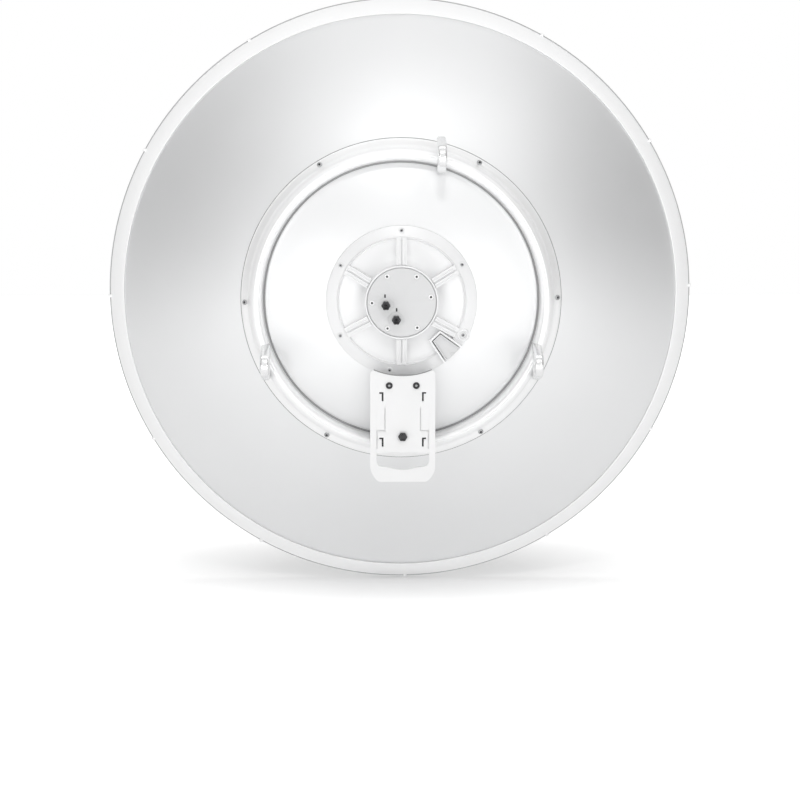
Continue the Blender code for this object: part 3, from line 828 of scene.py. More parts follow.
def inside_of_hub():
    """A solid that starts just under the hub's skin and fills everything forward of it."""
    return turned(
        "inside_of_hub",
        [
            (0.0, hub_floor + UNDER),
            *[(r, panel_back(r) + UNDER) for r in reversed(panel_radii)],
            (STEP_R - 0.0008, panel_back(STEP_R) + UNDER), (STEP_R + 0.0014, 0.0018 + UNDER),
            (FLANGE_R + 0.0020, bowl_back(FLANGE_R) - 0.0024 + UNDER),
            (FLANGE_R + 0.0020, 0.060), (0.0, 0.060),
        ],
        steps=96,
    )


def crest(drop):
    """The rib's crest seen from the side, lowered by this much."""
    return [
        (CREST_AT_COLLAR + drop, RIB_INNER_R), (CREST_AT_STEP + drop, STEP_R - 0.0020),
        (bowl_back(RIB_END_R) - 0.0060 + drop * 0.4, RIB_END_R),
    ]


def rib_side(drop):
    """The whole rib seen from the side, its crest lowered by this much."""
    return [(RIB_FOOT_Y, RIB_INNER_R), *crest(drop), (RIB_FOOT_Y, RIB_END_R)]


def above_crest(drop):
    """The room behind the rib, down to its crest lowered by this much."""
    start, bend, end = crest(drop)
    near, far = RIB_INNER_R - 0.001, RIB_END_R + 0.001
    return [(ROOM_Y, near), (start[0], near), bend, (end[0], far), (ROOM_Y, far)]


ridge_x = (RIB_GROOVE + RIDGE) / 2
rib = facing_side("rib", rib_side(0.0), -ridge_x, RIDGE)
combined(rib, facing_side("ridge", rib_side(0.0), ridge_x, RIDGE), "UNION")
combined(rib, facing_side("web", rib_side(GROOVE_DEPTH), 0.0, RIB_GROOVE + 0.001), "UNION")
for side in (-1, 1):
    combined(rib, facing_side("channel", above_crest(CHANNEL_DEPTH), side * ridge_x, CHANNEL))
combined(rib, inside_of_hub())
rounded(rib, 0.0004, 3, angle=25.0)

for index in range(RIB_COUNT):
    bar = copy_of(rib, f"rib_double_{index + 1}")
    turn_round_axis(bar, math.tau * index / RIB_COUNT)
    hand_over(bar, HUB_MOULDING, "white_plastic", f"hub_rib_{index + 1}")
bpy.data.objects.remove(rib, do_unlink=True)

# %% [markdown]
# The cable port is a raised wall in the shape of a U, its legs spreading toward the flange's
# edge. Between them lies a grey clip-on door, a shallow tray with a low rim, and a small wedge
# at its outer edge is the catch. Both are plates cut to the hub's skin with the same cutter as
# the ribs, then turned into place, because a tapered outline is easiest to draw upright.

# %% The cable port
PORT_TURN = math.radians(136.0)
PORT_NEAR, PORT_FAR = 0.0590, 0.0925
PORT_NEAR_HALF, PORT_FAR_HALF = 0.0093, 0.0155
PORT_WALL = 0.0022
PORT_BACK_Y = -0.0060
PORT_DEPTH = 0.020
PORT_GAP = 0.0015


def port_outline(inset, far):
    """The port's tapered outline, drawn in by the inset on three sides and open at the end."""
    spread = (PORT_FAR_HALF - PORT_NEAR_HALF) / (PORT_FAR - PORT_NEAR)
    near = PORT_NEAR + inset
    near_half = PORT_NEAR_HALF - inset + spread * inset
    far_half = near_half + spread * (far - near)
    return [(-near_half, near), (near_half, near), (far_half, far), (-far_half, far)]


port = facing_back("cable_port_wall", port_outline(0.0, PORT_FAR), PORT_BACK_Y, PORT_DEPTH)
well_line = port_outline(PORT_WALL, PORT_FAR + 0.002)
well = facing_back("well", well_line, PORT_BACK_Y - CUT_ABOVE, PORT_DEPTH + 2 * CUT_ABOVE)
combined(port, well)
combined(port, inside_of_hub())
rounded(port, 0.0004, 3, angle=40.0)
turn_round_axis(port, PORT_TURN)
hand_over(port, HUB_MOULDING, "white_plastic", "cable_port_frame")

DOOR_RIM = 0.0014
DOOR_END = PORT_FAR - 0.0006
DOOR_FACE_Y = -0.0010
DOOR_BACK_Y = PORT_BACK_Y + 0.0016
CATCH_HALF, CATCH_LONG = 0.0026, 0.0038

door_inset = PORT_WALL + PORT_GAP
door = facing_back("cable_port_door", port_outline(door_inset, DOOR_END), DOOR_BACK_Y, 0.018)
tray_line = port_outline(door_inset + DOOR_RIM, DOOR_END + 0.002)
tray_back = PORT_BACK_Y - CUT_ABOVE
combined(door, facing_back("tray", tray_line, tray_back, DOOR_FACE_Y - tray_back))
catch_end = DOOR_END - 0.0002
catch_line = [(-CATCH_HALF, catch_end), (0.0, catch_end - CATCH_LONG), (CATCH_HALF, catch_end)]
catch = facing_back("catch", catch_line, DOOR_FACE_Y - 0.0016, 0.0030)
combined(door, inside_of_hub())
combined(door, catch, "UNION")
rounded(door, 0.0003, 2, angle=40.0)
turn_round_axis(door, PORT_TURN)
hand_over(door, PLATE_GREY, "grey_casting")

# %% [markdown]
# The radio hooks onto one long moulding: a plate whose top edge is hollowed to clear the hub,
# side walls turned toward the bowl, four L-shaped slots for the hooks, a release tongue
# between two stepped grooves, and a hand loop below. Plate, walls, opening, slots and grooves
# go together as Booleans, since each alone is a simple outline. One fine bevel then rounds
# every edge, as a mould does.

# %% The radio bracket
BRACKET_X = 0.0012
BRACKET_HALF = 0.0403
BRACKET_CORNER = 0.0050
BRACKET_BACK_Y = -0.0200
BRACKET_SHEET = 0.0035
BRACKET_WALL = 0.0030
BRACKET_DEPTH = 0.013
BRACKET_ARC_R = 0.091
BRACKET_END_Z = -0.1860
LOOP_END_Z = -0.2232
LOOP_BAR_Z = -0.2040
LOOP_GAP_HALF = 0.0326
WALL_TOP_Z, WALL_FOOT_Z, WALL_CHAMFER = -0.0915, LOOP_END_Z + 0.0190, 0.002

bracket_reach = math.degrees(math.asin((BRACKET_HALF - BRACKET_CORNER) / BRACKET_ARC_R))
hollow = arc((0.0, 0.0), BRACKET_ARC_R, -90.0 + bracket_reach, -90.0 - bracket_reach, 28)
corner_z = -BRACKET_ARC_R * math.cos(math.radians(bracket_reach)) - BRACKET_CORNER
inner_half = BRACKET_HALF - BRACKET_CORNER
FOOT = (
    (0.0, 0.0180), (0.0008, 0.0140), (0.0024, 0.0102), (0.0046, 0.0064),
    (0.0070, 0.0034), (0.0092, 0.0014), (0.0116, 0.0003), (0.0140, 0.0),
)
LOOP_CUT = (
    (0.0, 0.0070), (0.0006, 0.0045), (0.0018, 0.0024), (0.0040, 0.0006), (0.0072, 0.0),
    (0.0105, -0.0002), (0.0145, -0.0009), (0.0185, -0.0019), (0.0230, -0.0030), (0.0275, -0.0038),
)


def mirrored(outline):
    """An outline drawn down one side, closed over the middle by its mirror image."""
    return [*outline, *[(-x, z) for x, z in reversed(outline)]]


bracket_edge = mirrored(
    [
        *[(x, z) for x, z in hollow if x < -0.0001],
        *arc((-inner_half, corner_z), BRACKET_CORNER, 90.0, 180.0, 8)[1:],
        *[(-BRACKET_HALF + x, LOOP_END_Z + z) for x, z in FOOT],
    ]
)
bracket = facing_back("radio_bracket_moulding", bracket_edge, BRACKET_BACK_Y, BRACKET_SHEET)

wall_start = BRACKET_BACK_Y + BRACKET_SHEET - 0.001
wall_end = BRACKET_BACK_Y + BRACKET_DEPTH
for side in (-1, 1):
    wall = facing_side(
        "wall",
        [
            (wall_start, WALL_TOP_Z), (wall_end - WALL_CHAMFER, WALL_TOP_Z),
            (wall_end, WALL_TOP_Z - WALL_CHAMFER), (wall_end, WALL_FOOT_Z + WALL_CHAMFER),
            (wall_end - WALL_CHAMFER, WALL_FOOT_Z), (wall_start, WALL_FOOT_Z),
        ],
        side * (BRACKET_HALF - BRACKET_WALL / 2 - 0.00005),
        BRACKET_WALL - 0.0001,
    )
    combined(bracket, wall, "UNION")

loop_cut = mirrored(
    [
        (-LOOP_GAP_HALF, BRACKET_END_Z),
        *[(-LOOP_GAP_HALF + x, LOOP_BAR_Z + z) for x, z in LOOP_CUT],
    ]
)
CUT_FROM_Y = BRACKET_BACK_Y - 0.002
THROUGH = BRACKET_SHEET + 0.004
combined(bracket, facing_back("loop_cut", loop_cut, CUT_FROM_Y, THROUGH))
print("bracket plate with its walls and hand loop")

# %% [markdown]
# The slots are drawn as L-shaped outlines, one for each side and height, and go through. The
# grooves beside the tongue run down, step outward and run down again, and go only partway
# through the plate, so their cutters start behind it and stop inside it. A round hole between
# them takes the lower bolt.

# %% Slots and grooves in the bracket
SLOT_X, SLOT_WIDE = 0.0238, 0.0022
SLOT_ARM, SLOT_DROP = 0.0052, 0.0115
SLOT_TOPS = (-0.1108, -0.1676)
TONGUE_X, TONGUE_TOP_Z = 0.0212, -0.1300
TONGUE_STEP_Z, TONGUE_END_Z = -0.1580, -0.1815
GROOVE_WIDE, GROOVE_DEEP = 0.0016, 0.0026
GROOVE_LINE = (
    (TONGUE_X, TONGUE_TOP_Z), (TONGUE_X, TONGUE_STEP_Z - GROOVE_WIDE),
    (LOOP_GAP_HALF - GROOVE_WIDE, TONGUE_STEP_Z - GROOVE_WIDE),
    (LOOP_GAP_HALF - GROOVE_WIDE, TONGUE_END_Z), (LOOP_GAP_HALF, TONGUE_END_Z),
    (LOOP_GAP_HALF, TONGUE_STEP_Z), (TONGUE_X + GROOVE_WIDE, TONGUE_STEP_Z),
    (TONGUE_X + GROOVE_WIDE, TONGUE_TOP_Z),
)
LOWER_BOLT_Z, LOWER_BOLT_HOLE_R = -0.1664, 0.0034


def on_side(side, outline):
    """An outline drawn for the right side, or mirrored to the left one by -1."""
    return [(side * x, z) for x, z in outline]


groove_cut = BRACKET_BACK_Y + GROOVE_DEEP - CUT_FROM_Y
for side in (-1, 1):
    for top in SLOT_TOPS:
        slot_line = [
            (SLOT_X, top), (SLOT_X, top - SLOT_DROP), (SLOT_X + SLOT_WIDE, top - SLOT_DROP),
            (SLOT_X + SLOT_WIDE, top - SLOT_WIDE), (SLOT_X + SLOT_ARM, top - SLOT_WIDE),
            (SLOT_X + SLOT_ARM, top),
        ]
        combined(bracket, facing_back("slot", on_side(side, slot_line), CUT_FROM_Y, THROUGH))
    combined(bracket, facing_back("groove", on_side(side, GROOVE_LINE), CUT_FROM_Y, groove_cut))
bolt_hole = rod_along_y(
    "bolt_hole", 0.0, LOWER_BOLT_Z, LOWER_BOLT_HOLE_R, CUT_FROM_Y, BRACKET_BACK_Y + 0.006
)
combined(bracket, bolt_hole)
rounded(bracket, 0.0004, 3, angle=40.0)
bracket.data.transform(Matrix.Translation((BRACKET_X, 0.0, 0.0)))
hand_over(bracket, BRACKET_MOULDING, "white_plastic", "radio_bracket")

# %% [markdown]
# Two small additions give the bracket its dark lines, and both are painted shade. A thin grey
# strip along the hollow edge stands in for the shadow line in the gap to the hub, and a black
# sheet behind each slot stands in for the shadow inside it. Without the sheets the slots would
# show the bright bowl, and on the real dish they are dark.

# %% The painted shade strip and slot sheets
# Painted shade: a grey strip for the shadow line in the gap between the bracket and the hub.
STRIP_OUT, STRIP_INSET = 0.0011, 0.0003
STRIP_PAST = 0.6
strip_turn = bracket_reach + STRIP_PAST
free_arc = arc(
    (BRACKET_X, 0.0), BRACKET_ARC_R - STRIP_OUT, -90.0 + strip_turn, -90.0 - strip_turn, 28
)
plate_arc = arc(
    (BRACKET_X, 0.0), BRACKET_ARC_R - 0.0001, -90.0 - strip_turn, -90.0 + strip_turn, 28
)
strip = facing_back(
    "bracket_edge_painted_shade",
    free_arc + plate_arc,
    BRACKET_BACK_Y + STRIP_INSET,
    BRACKET_SHEET - 2 * STRIP_INSET,
)
rounded(strip, 0.0002, 2, angle=60.0)
hand_over(strip, JOINT_SHADE_GREY, "grey_casting")

# Painted shade: a black sheet behind each slot, for the shadow inside it.
SHADE_SHEET_THICK, SHADE_SHEET_LAP = 0.0012, 0.0009
SHADE_SHEET_FACE_Y = BRACKET_BACK_Y + BRACKET_SHEET + 0.0001
SIDES = (("left", -1), ("right", 1))
for side, sign in SIDES:
    near = BRACKET_X + sign * (SLOT_X - SHADE_SHEET_LAP)
    far = BRACKET_X + sign * (SLOT_X + SLOT_ARM + SHADE_SHEET_LAP)
    for level, top in zip(("upper", "lower"), SLOT_TOPS):
        high, low = top + SHADE_SHEET_LAP, top - SLOT_DROP - SHADE_SHEET_LAP
        shade_sheet_line = [(near, high), (near, low), (far, low), (far, high)]
        shade_sheet = facing_back(f"slot_painted_shade_{level}_{side}", shade_sheet_line, SHADE_SHEET_FACE_Y, SHADE_SHEET_THICK)
        rounded(shade_sheet, 0.0002, 2)
        hand_over(shade_sheet, SLOT_SHADE_BLACK, "grey_casting")

# %% [markdown]
# Pan-head screws hold everything together. One head is turned as a low dome with a flat top,
# and a six-sided recess for the driver is cut in it. A dark insert at the bottom of the recess
# is painted shade, a piece of its own with a darker finish that deepens the recess. Each kind is
# modelled on the dish axis, facing back. Every place then gets a copy, leaned to the surface it
# lies on and turned to its hour round the dish.

# %% One screw head, many places
DRIVE_SIDES = 6


def screw_head(name, radius, height, recess_r, seat=0.0006):
    """A pan head on the dish axis: its seat is at depth 0 and it faces back."""
    head = turned(
        name,
        [
            (0.0, seat), (radius * 0.96, seat), (radius, -height * 0.15),
            (radius * 0.93, -height * 0.62), (radius * 0.74, -height * 0.93),
            (radius * 0.55, -height), (0.0, -height),
        ],
        steps=32,
    )
    recess_end = -height * 0.35
    recess = rod_along_y("recess", 0.0, 0.0, recess_r, -height - 0.001, recess_end, DRIVE_SIDES)
    combined(head, recess)
    return rounded(head, radius * 0.05, 2, angle=40.0)


def recess_shade_insert(name, radius, start, end):
    """A dark insert at the bottom of a recess, as painted shade, on the dish axis."""
    return rod_along_y(name, 0.0, 0.0, radius, start, end, DRIVE_SIDES)


def placed(head, name, radius, degrees, depth, tilt=0.0):
    """A copy of a head at this radius, hour and depth, leaning outward by the tilt."""
    made = copy_of(head, name)
    made.data.transform(
        Matrix.Translation(AXIS)
        @ Matrix.Rotation(math.radians(degrees), 4, "Y")
        @ Matrix.Translation((0.0, depth, radius))
        @ Matrix.Rotation(-tilt, 4, "X")
        @ Matrix.Translation(-AXIS)
    )
    return made


def set_round(radius, angles, depth, tilt, *kinds):
    """Sets one of each kind at every angle. A kind is (head, name, finish, slot, lift)."""
    for index, degrees in enumerate(angles):
        for head, name, finish, slot, lift in kinds:
            piece = placed(head, f"{name}_{index + 1}", radius, degrees, depth - lift, tilt)
            hand_over(piece, finish, slot)
    for head, *_ in kinds:
        bpy.data.objects.remove(head, do_unlink=True)


def bowl_tilt(radius):
    """How far the bowl's surface leans at this radius."""
    return math.atan(radius / (2 * FOCUS))


print("screws can be set at any radius and hour")

# %% [markdown]
# The angles were read off the photograph one by one, because the screws are not quite evenly
# spaced. Six zinc screws go through the ring's flange and six smaller ones, in low bosses,
# through the hub's. A wide double ring lies round one of the bosses. The plate's six screws are
# white, so that only their dark recesses show.

# %% Screws of the ring, the hub and the plate
RING_BOLT_R = 0.1955
RING_BOLT_ANGLES = (-31.2, 29.8, 89.6, 149.2, 208.6, 268.8)
RING_BOLT_LIFT = 0.0038
HUB_SCREW_R = 0.0874
HUB_SCREW_ANGLES = (0.0, 59.0, 119.1, 189.8, 240.4, 300.4)
BOSS_LIFT, HUB_SCREW_LIFT = 0.0035, 0.0004
WIDE_BOSS, WIDE_BOSS_LIFT = 2, 0.0031

ring_bolt = screw_head("ring_bolt", 0.0034, 0.0021, 0.0017)
# Painted shade: a dark insert at the bottom of each screw recess.
ring_recess_shade = recess_shade_insert("ring_recess_shade", 0.0018, -0.0008, -0.0002)
set_round(
    RING_BOLT_R, RING_BOLT_ANGLES, bowl_back(RING_BOLT_R) - RING_BOLT_LIFT, bowl_tilt(RING_BOLT_R),
    (ring_recess_shade, "ring_bolt_recess_shade", DARK_STEEL_AND_SHADE, "nickel_plate", 0.0),
    (ring_bolt, "ring_bolt", ZINC_AND_HIGHLIGHT, "nickel_plate", 0.0),
)

hub_screw = screw_head("hub_screw", 0.0021, 0.0012, 0.0011)
hub_recess_shade = recess_shade_insert("hub_recess_shade", 0.0012, -0.0006, 0.0001)
boss_line = [
    (0.0, 0.001), (0.0038, 0.001), (0.0036, -0.0006),
    (0.0028, -0.0008), (0.0024, -0.0004), (0.0, -0.0004),
]
boss = rounded(turned("boss", boss_line, steps=32), 0.0002, 2)
set_round(
    HUB_SCREW_R, HUB_SCREW_ANGLES, bowl_back(HUB_SCREW_R) - BOSS_LIFT, bowl_tilt(HUB_SCREW_R),
    (boss, "hub_boss", HUB_PEARL, "white_plastic", 0.0),
    (hub_screw, "hub_screw", ZINC_AND_HIGHLIGHT, "nickel_plate", HUB_SCREW_LIFT),
    (hub_recess_shade, "hub_screw_recess_shade", DARK_STEEL_AND_SHADE, "nickel_plate", HUB_SCREW_LIFT),
)

rings_line = [
    (0.0040, 0.0010), (0.0086, 0.0010), (0.0084, -0.0010), (0.0074, -0.0012),
    (0.0068, -0.0004), (0.0058, -0.0004), (0.0050, -0.0012), (0.0042, -0.0010),
]
wide_boss = rounded(turned("wide_boss", rings_line, steps=48), 0.0002, 2)
rings = placed(
    wide_boss,
    "hub_boss_rings",
    HUB_SCREW_R,
    HUB_SCREW_ANGLES[WIDE_BOSS],
    bowl_back(HUB_SCREW_R) - WIDE_BOSS_LIFT,
    bowl_tilt(HUB_SCREW_R),
)
hand_over(rings, HUB_PEARL, "white_plastic")
bpy.data.objects.remove(wide_boss, do_unlink=True)

plate_screw = screw_head("plate_screw", 0.0033, 0.0009, 0.0016, seat=0.0002)
plate_recess_shade = recess_shade_insert("plate_recess_shade", 0.0017, -0.0006, 0.0001)
set_round(
    PLATE_SCREW_R, PLATE_SCREW_ANGLES, HUB_BACK_Y + SEAT_DEPTH, 0.0,
    (plate_recess_shade, "plate_screw_recess_shade", DARK_STEEL_AND_SHADE, "nickel_plate", 0.0),
    (plate_screw, "plate_screw", EDGE_COAT, "white_paint", 0.0),
)

# %% [markdown]
# The bracket hangs on two pan-head bolts above and one hexagon bolt below, all in dark steel.
# A small zinc spot in each upper recess is a painted highlight. Twelve small studs stand out
# round the band's edge, which show from behind only as bumps on the outline.

# %% Bolts of the bracket and studs of the band
BRACKET_BOLT_X, BRACKET_BOLT_Z = 0.01675, -0.1026

bracket_bolt = screw_head("bracket_bolt", 0.0043, 0.0027, 0.0021)
for side, sign in SIDES:
    bolt_x = BRACKET_X + sign * BRACKET_BOLT_X
    bolt = copy_of(bracket_bolt, f"bracket_bolt_{side}")
    bolt.data.transform(Matrix.Translation((bolt_x, BRACKET_BACK_Y, BRACKET_BOLT_Z)))
    hand_over(bolt, DARK_STEEL_AND_SHADE, "nickel_plate")
    # Painted highlight: a zinc spot in the recess, for the bright point in it.
    spot = rod_along_y(
        f"bracket_bolt_painted_highlight_{side}", bolt_x, BRACKET_BOLT_Z, 0.0015,
        BRACKET_BACK_Y - 0.0018, BRACKET_BACK_Y - 0.0006, 24,
    )
    rounded(spot, 0.0004, 2, angle=40.0)
    hand_over(spot, ZINC_AND_HIGHLIGHT, "nickel_plate")
bpy.data.objects.remove(bracket_bolt, do_unlink=True)

HEX_R, HEX_HEIGHT = 0.0058, 0.0042
DIMPLE_R, DIMPLE_DEEP = 0.0036, 0.0008
hexagon = arc((BRACKET_X, LOWER_BOLT_Z), HEX_R, 0.0, 300.0, 5)
hex_back = BRACKET_BACK_Y - HEX_HEIGHT
hex_bolt = facing_back("bracket_bolt_lower", hexagon, hex_back, HEX_HEIGHT - 0.0002)
dimple = rod_along_y(
    "dimple", BRACKET_X, LOWER_BOLT_Z, DIMPLE_R, hex_back - 0.001, hex_back + DIMPLE_DEEP
)
combined(hex_bolt, dimple)
shank = rod_along_y(
    "shank", BRACKET_X, LOWER_BOLT_Z, 0.0030, BRACKET_BACK_Y - 0.001, BRACKET_BACK_Y + 0.0036
)
combined(hex_bolt, shank, "UNION")
rounded(hex_bolt, 0.0004, 2, angle=40.0)
hand_over(hex_bolt, DARK_STEEL_AND_SHADE, "nickel_plate")

STUD_COUNT, STUD_START = 12, -1.0
STUD_R = 0.3751
stud_line = [
    (0.0, 0.0050), (0.0021, 0.0050), (0.0021, 0.0001), (0.0026, 0.0),
    (0.0026, -0.0006), (0.0019, -0.0012), (0.0, -0.0014),
]
stud = rounded(turned("stud", stud_line, steps=24), 0.0002, 2)
stud_angles = [STUD_START + 360.0 * index / STUD_COUNT for index in range(STUD_COUNT)]
set_round(
    STUD_R, stud_angles, BAND_FRONT_Y - 0.0030, math.pi / 2,
    (stud, "edge_stud", EDGE_COAT, "white_paint", 0.0),
)

# %% [markdown]
# The front side can't be seen in the usual view, but the dish is looked at from there too. A
# clamp ring backs up the hub's screws, a cast socket carries the feed tube, and a small
# reflector rides on a moulded cone at its end. They are five turned sections, each beginning
# where the one before it ends.

# %% The feed
CLAMP_OUT_R, CLAMP_IN_R = 0.088, 0.050
FEED_BASE_R, FEED_BASE_LENGTH = 0.040, 0.020
FEED_SEAT = 0.0060
FEED_TUBE_R, FEED_TUBE_END = 0.0210, 0.2000
FEED_TUBE_WALL = 0.0020
FEED_CONE_R, FEED_CONE_LENGTH = 0.0330, 0.0377
FEED_CAP_END = 0.2480
FEED_TURN_STEPS = 96

clamp_mid = BOWL_HOLE_R + 0.004
clamp_face = bowl_front(clamp_mid) + 0.0040
base_start = hub_floor + HUB_WALL + GAP
tube_start = base_start + FEED_SEAT + GAP
cone_start = FEED_TUBE_END + GAP
cap_start = FEED_TUBE_END + 0.0380 + 2 * GAP

lathe(
    "clamp_ring_disc",
    [
        (CLAMP_OUT_R, bowl_front(CLAMP_OUT_R) + GAP),
        (CLAMP_OUT_R, bowl_front(CLAMP_OUT_R) + 0.0026), (CLAMP_IN_R + 0.004, clamp_face),
        (CLAMP_IN_R, clamp_face - 0.0005), (CLAMP_IN_R, bowl_front(clamp_mid) + 0.0006),
        (clamp_mid, bowl_front(clamp_mid) + GAP),
    ],
    0.0005, WHITE_COAT, "white_paint", "clamp_ring", steps=FEED_TURN_STEPS,
)
lathe(
    "feed_base_casting",
    [
        (CLAMP_IN_R - 0.0090, base_start), (CLAMP_IN_R - 0.0090, 0.0060),
        (CLAMP_IN_R - GAP, 0.0075), (CLAMP_IN_R - GAP, clamp_face),
        (FEED_BASE_R, clamp_face + 0.0040), (FEED_TUBE_R + 0.0085, clamp_face + 0.0070),
        (FEED_TUBE_R + 0.0060, clamp_face + FEED_BASE_LENGTH),
        (FEED_TUBE_R + GAP, clamp_face + FEED_BASE_LENGTH),
        (FEED_TUBE_R + GAP, base_start + FEED_SEAT),
        (FEED_TUBE_R - 0.0040, base_start + FEED_SEAT), (FEED_TUBE_R - 0.0040, base_start),
    ],
    0.0008, PLATE_GREY, "grey_casting", "feed_base", steps=FEED_TURN_STEPS,
)
lathe(
    "feed_tube_drawn",
    [
        (FEED_TUBE_R, tube_start), (FEED_TUBE_R, FEED_TUBE_END),
        (FEED_TUBE_R - FEED_TUBE_WALL, FEED_TUBE_END),
        (FEED_TUBE_R - FEED_TUBE_WALL, tube_start),
    ],
    0.0003, PLATE_GREY, "grey_casting", "feed_tube", segments=2, steps=FEED_TURN_STEPS,
)
lathe(
    "feed_cone_moulding",
    [
        (0.0, cone_start), (FEED_TUBE_R + 0.0015, cone_start),
        (FEED_TUBE_R + 0.0015, cone_start + 0.0060), (FEED_CONE_R, cone_start + 0.0300),
        (FEED_CONE_R, cone_start + FEED_CONE_LENGTH), (0.0, cone_start + FEED_CONE_LENGTH),
    ],
    0.0008, HUB_MOULDING, "white_plastic", "feed_cone", angle=20.0, steps=FEED_TURN_STEPS,
)
lathe(
    "sub_reflector_cap",
    [
        (0.0, cap_start), (FEED_CONE_R, cap_start), (FEED_CONE_R + 0.0010, cap_start + 0.0020),
        (FEED_CONE_R - 0.0040, FEED_CAP_END - 0.0015), (FEED_CONE_R - 0.0120, FEED_CAP_END),
        (0.0, FEED_CAP_END),
    ],
    0.0008, HUB_MOULDING, "white_plastic", "sub_reflector", angle=20.0, steps=FEED_TURN_STEPS,
)

# %% [markdown]
# Three hidden blocks carry the bracket on the bowl and over the ring. Their CAD shapes are
# right as they are, so they stay, with the moulded finish in place of the plain one.

# %% Nodes that stay
for name in ("bracket_pillar_left", "bracket_pillar_right", "ring_bridge"):
    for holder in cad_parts[name].material_slots:
        holder.material = BRACKET_MOULDING
    print(name, "keeps its shape")

# %% [markdown]
# The camera stands 3.5 m behind the dish, a little above the middle of it, with a long lens.
# It looks below that middle, so the dish sits high in the frame and the floor has room.

# %% The camera
RIM_FRONT = dish(0.0, BAND_FRONT_Y, 0.0)
camera_data = bpy.data.cameras.new("camera")
camera_data.lens = 121.6
camera_data.sensor_width = 36.0
camera_data.clip_end = 60.0
camera = bpy.data.objects.new("camera", camera_data)
bpy.context.scene.collection.objects.link(camera)
camera.location = RIM_FRONT + Vector((-0.045, -3.486, 0.314))
pitch, yaw = math.radians(-7.47), math.radians(-0.74)
camera.rotation_euler = (math.pi / 2 + pitch, 0.0, yaw)
bpy.context.scene.camera = camera
print("camera at", tuple(round(c, 3) for c in camera.location))

# %% [markdown]
# The stage is a plain white floor under the dish's rim. In a studio such a floor is lit so
# strongly that it melts into the backdrop, and only the soft shade under the object is left.
# Here that shade is painted. The floor glows a little by itself, more with the distance from
# the rim, and its white is painted a trace darker where the rim stands, as a painted shadow.
# Both are seen by the camera only. A second glow, which grows toward the camera, does light the
# dish, from below, as a real floor would.

# %% The floor
FLOOR_DROP = 0.0016
FLOOR_WHITE = 0.92
SHADE_SQUEEZE, SHADE_BACK = 1.6, 0.060

floor_level = cad_low[2] - FLOOR_DROP
bpy.ops.object.select_all(action="DESELECT")
bpy.ops.mesh.primitive_plane_add(size=8.0, location=(AXIS.x, RIM_FRONT.y, floor_level))
floor = bpy.context.object
floor.name = "studio_floor"
floor_paint, tree, floor_shader, place = new_finish("floor_white")
floor.data.materials.append(floor_paint)

shift = {0: place, 1: (1.0, SHADE_SQUEEZE, 1.0), 2: (0.0, -SHADE_SQUEEZE * SHADE_BACK, 0.0)}
squeezed = add(tree, "VectorMath", shift, operation="MULTIPLY_ADD").outputs[0]
from_rim = add(tree, "VectorMath", {0: squeezed}, operation="LENGTH").outputs["Value"]
forward = add(tree, "SeparateXYZ", {0: place}).outputs["Y"]
seen = add(tree, "LightPath", {}).outputs["Is Camera Ray"]
# Painted shadow: near the rim the camera sees less glow and a darker white.
far_glow = mapped(tree, from_rim, 0.12, 0.70, 0.0, 0.60, "SMOOTHSTEP")
near_glow = mapped(tree, forward, -1.3, -0.4, 0.75, 0.12, "SMOOTHSTEP")
painted_contact_shadow = mapped(tree, from_rim, 0.08, 0.26, -0.16, 0.0, "SMOOTHSTEP")
glow = add(tree, "Math", {0: far_glow, 1: seen, 2: near_glow}, operation="MULTIPLY_ADD")
tone = add(tree, "Math", {0: painted_contact_shadow, 1: seen, 2: FLOOR_WHITE}, operation="MULTIPLY_ADD")
sockets = {
    "Roughness": 0.9,
    "Base Color": tone.outputs[0],
    "Emission Color": (1.0, 1.0, 1.0, 1.0),
    "Emission Strength": glow.outputs[0],
}
plug(tree, floor_shader, sockets)
print("floor at", round(floor_level, 4))

# %% [markdown]
# Seven soft boxes light the dish: two small ones beside the camera, three high up between the
# camera and the dish, one right over the dish and one beyond it. All are weak, because the room
# itself does most of the work. The plain Standard view keeps white paint white, where a filmic
# one would turn it grey.

# %% The lights


def area_light(name, place, wide, tall, power):
    """A soft rectangular light that faces the middle of the dish."""
    data = bpy.data.lights.new(name, "AREA")
    data.shape = "RECTANGLE"
    data.size = wide
    data.size_y = tall
    data.energy = power
    light = bpy.data.objects.new(name, data)
    bpy.context.scene.collection.objects.link(light)
    light.location = dish(*place)
    light.rotation_mode = "QUATERNION"
    light.rotation_quaternion = (dish_middle - light.location).to_track_quat("-Z", "Y")
    print(name, power, "W")


bpy.context.scene.view_settings.view_transform = "Standard"
dish_middle = dish(0.0, 0.05, 0.0)
area_light("box_left", (-1.576, -3.181, 0.188), 0.4, 0.5, 9.8)
area_light("box_right", (1.576, -3.181, 0.188), 0.4, 0.5, 9.0)
area_light("box_top", (0.0, -2.477, 2.275), 0.6, 0.4, 9.5)
area_light("box_top_left", (-1.449, -2.020, 2.275), 1.4, 1.2, 3.4)
area_light("box_top_right", (1.449, -2.020, 2.275), 1.4, 1.2, 6.6)
area_light("box_over", (0.0, -0.45, 2.6), 2.6, 2.6, 9.0)
area_light("box_behind", (0.0, 1.55, 2.4), 2.4, 1.2, 2.0)

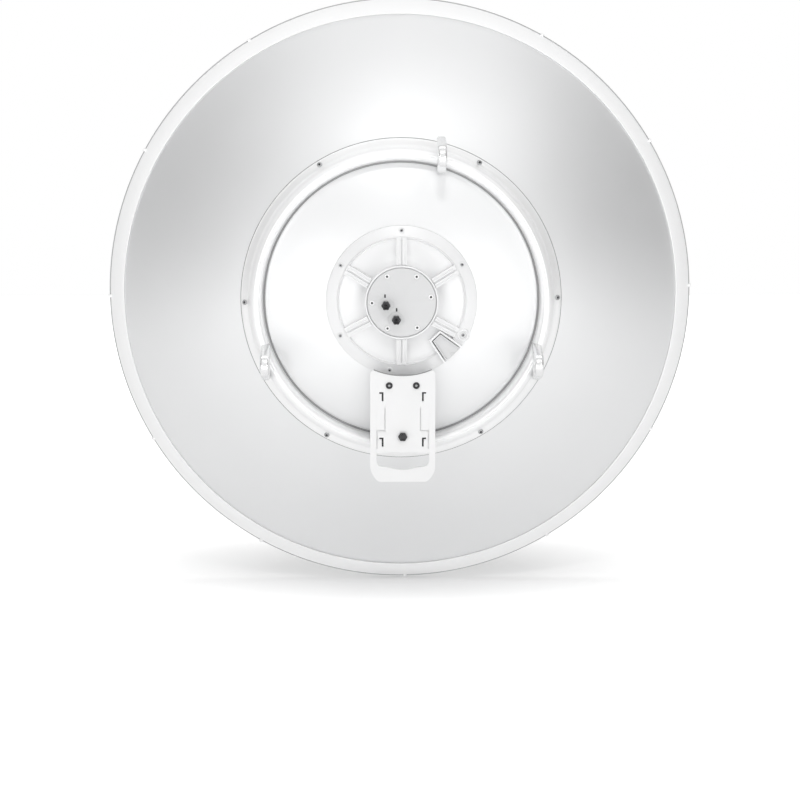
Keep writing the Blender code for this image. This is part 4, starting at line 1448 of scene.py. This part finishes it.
# %% [markdown]
# A pearl dish shows its room more than its own colour. The room is a glow that changes with
# the direction: bright behind the camera, dark just short of level with the dish, brightest
# just past level, and bright again straight beyond. It falls off toward both sides. The stops
# were tuned until the greys of bowl, ring and band met the photograph's. The camera itself
# sees plain white.

# %% The room
# Each stop is a part of the direction, from -1 to 1, and a brightness. The first list runs
# from behind the camera to beyond the dish, the second from left to right.
WALL_GLOW = (
    (-1.0, 0.84), (-0.65, 0.56), (-0.40, 0.40), (-0.20, 0.0),
    (-0.05, 1.09), (0.10, 1.91), (0.40, 0.30), (1.0, 0.83),
)
SIDE_SHARE = ((-1.0, 0.64), (-0.6, 0.94), (0.55, 0.98), (1.0, 0.40))
WALL_TOP = 2.0

world = bpy.data.worlds.new("studio")
bpy.context.scene.world = world
world.use_nodes = True
tree = world.node_tree


def glow_along(part, stops, top):
    """A grey that changes with a part of the direction, given as shares of the top value."""
    ramp = add(tree, "ValToRGB", {"Fac": mapped(tree, part, -1.0, 1.0, 0.0, 1.0)})
    marks = ramp.color_ramp.elements
    while len(marks) > 1:
        marks.remove(marks[0])
    for index, (place, grey) in enumerate(stops):
        position = (place + 1) / 2
        mark = marks[0] if index == 0 else marks.new(position)
        mark.position = position
        mark.color = (grey / top, grey / top, grey / top, 1.0)
    return ramp.outputs["Color"]


direction = add(tree, "TexCoord", {}).outputs["Generated"]
parts = add(tree, "SeparateXYZ", {0: direction}).outputs
wall = glow_along(parts["Y"], WALL_GLOW, WALL_TOP)
share = glow_along(parts["X"], SIDE_SHARE, 1.0)
full = add(tree, "Math", {0: share, 1: WALL_TOP}, operation="MULTIPLY").outputs[0]
lit_wall = plug(tree, tree.nodes["Background"], {"Color": wall, "Strength": full})
seen_wall = add(tree, "Background", {"Color": (1.0, 1.0, 1.0, 1.0)})
for_camera = add(tree, "LightPath", {}).outputs["Is Camera Ray"]
either = {0: for_camera, 1: lit_wall.outputs[0], 2: seen_wall.outputs[0]}
room = add(tree, "MixShader", either).outputs[0]
plug(tree, tree.nodes["World Output"], {"Surface": room})
print("room with", len(WALL_GLOW), "and", len(SIDE_SHARE), "stops")
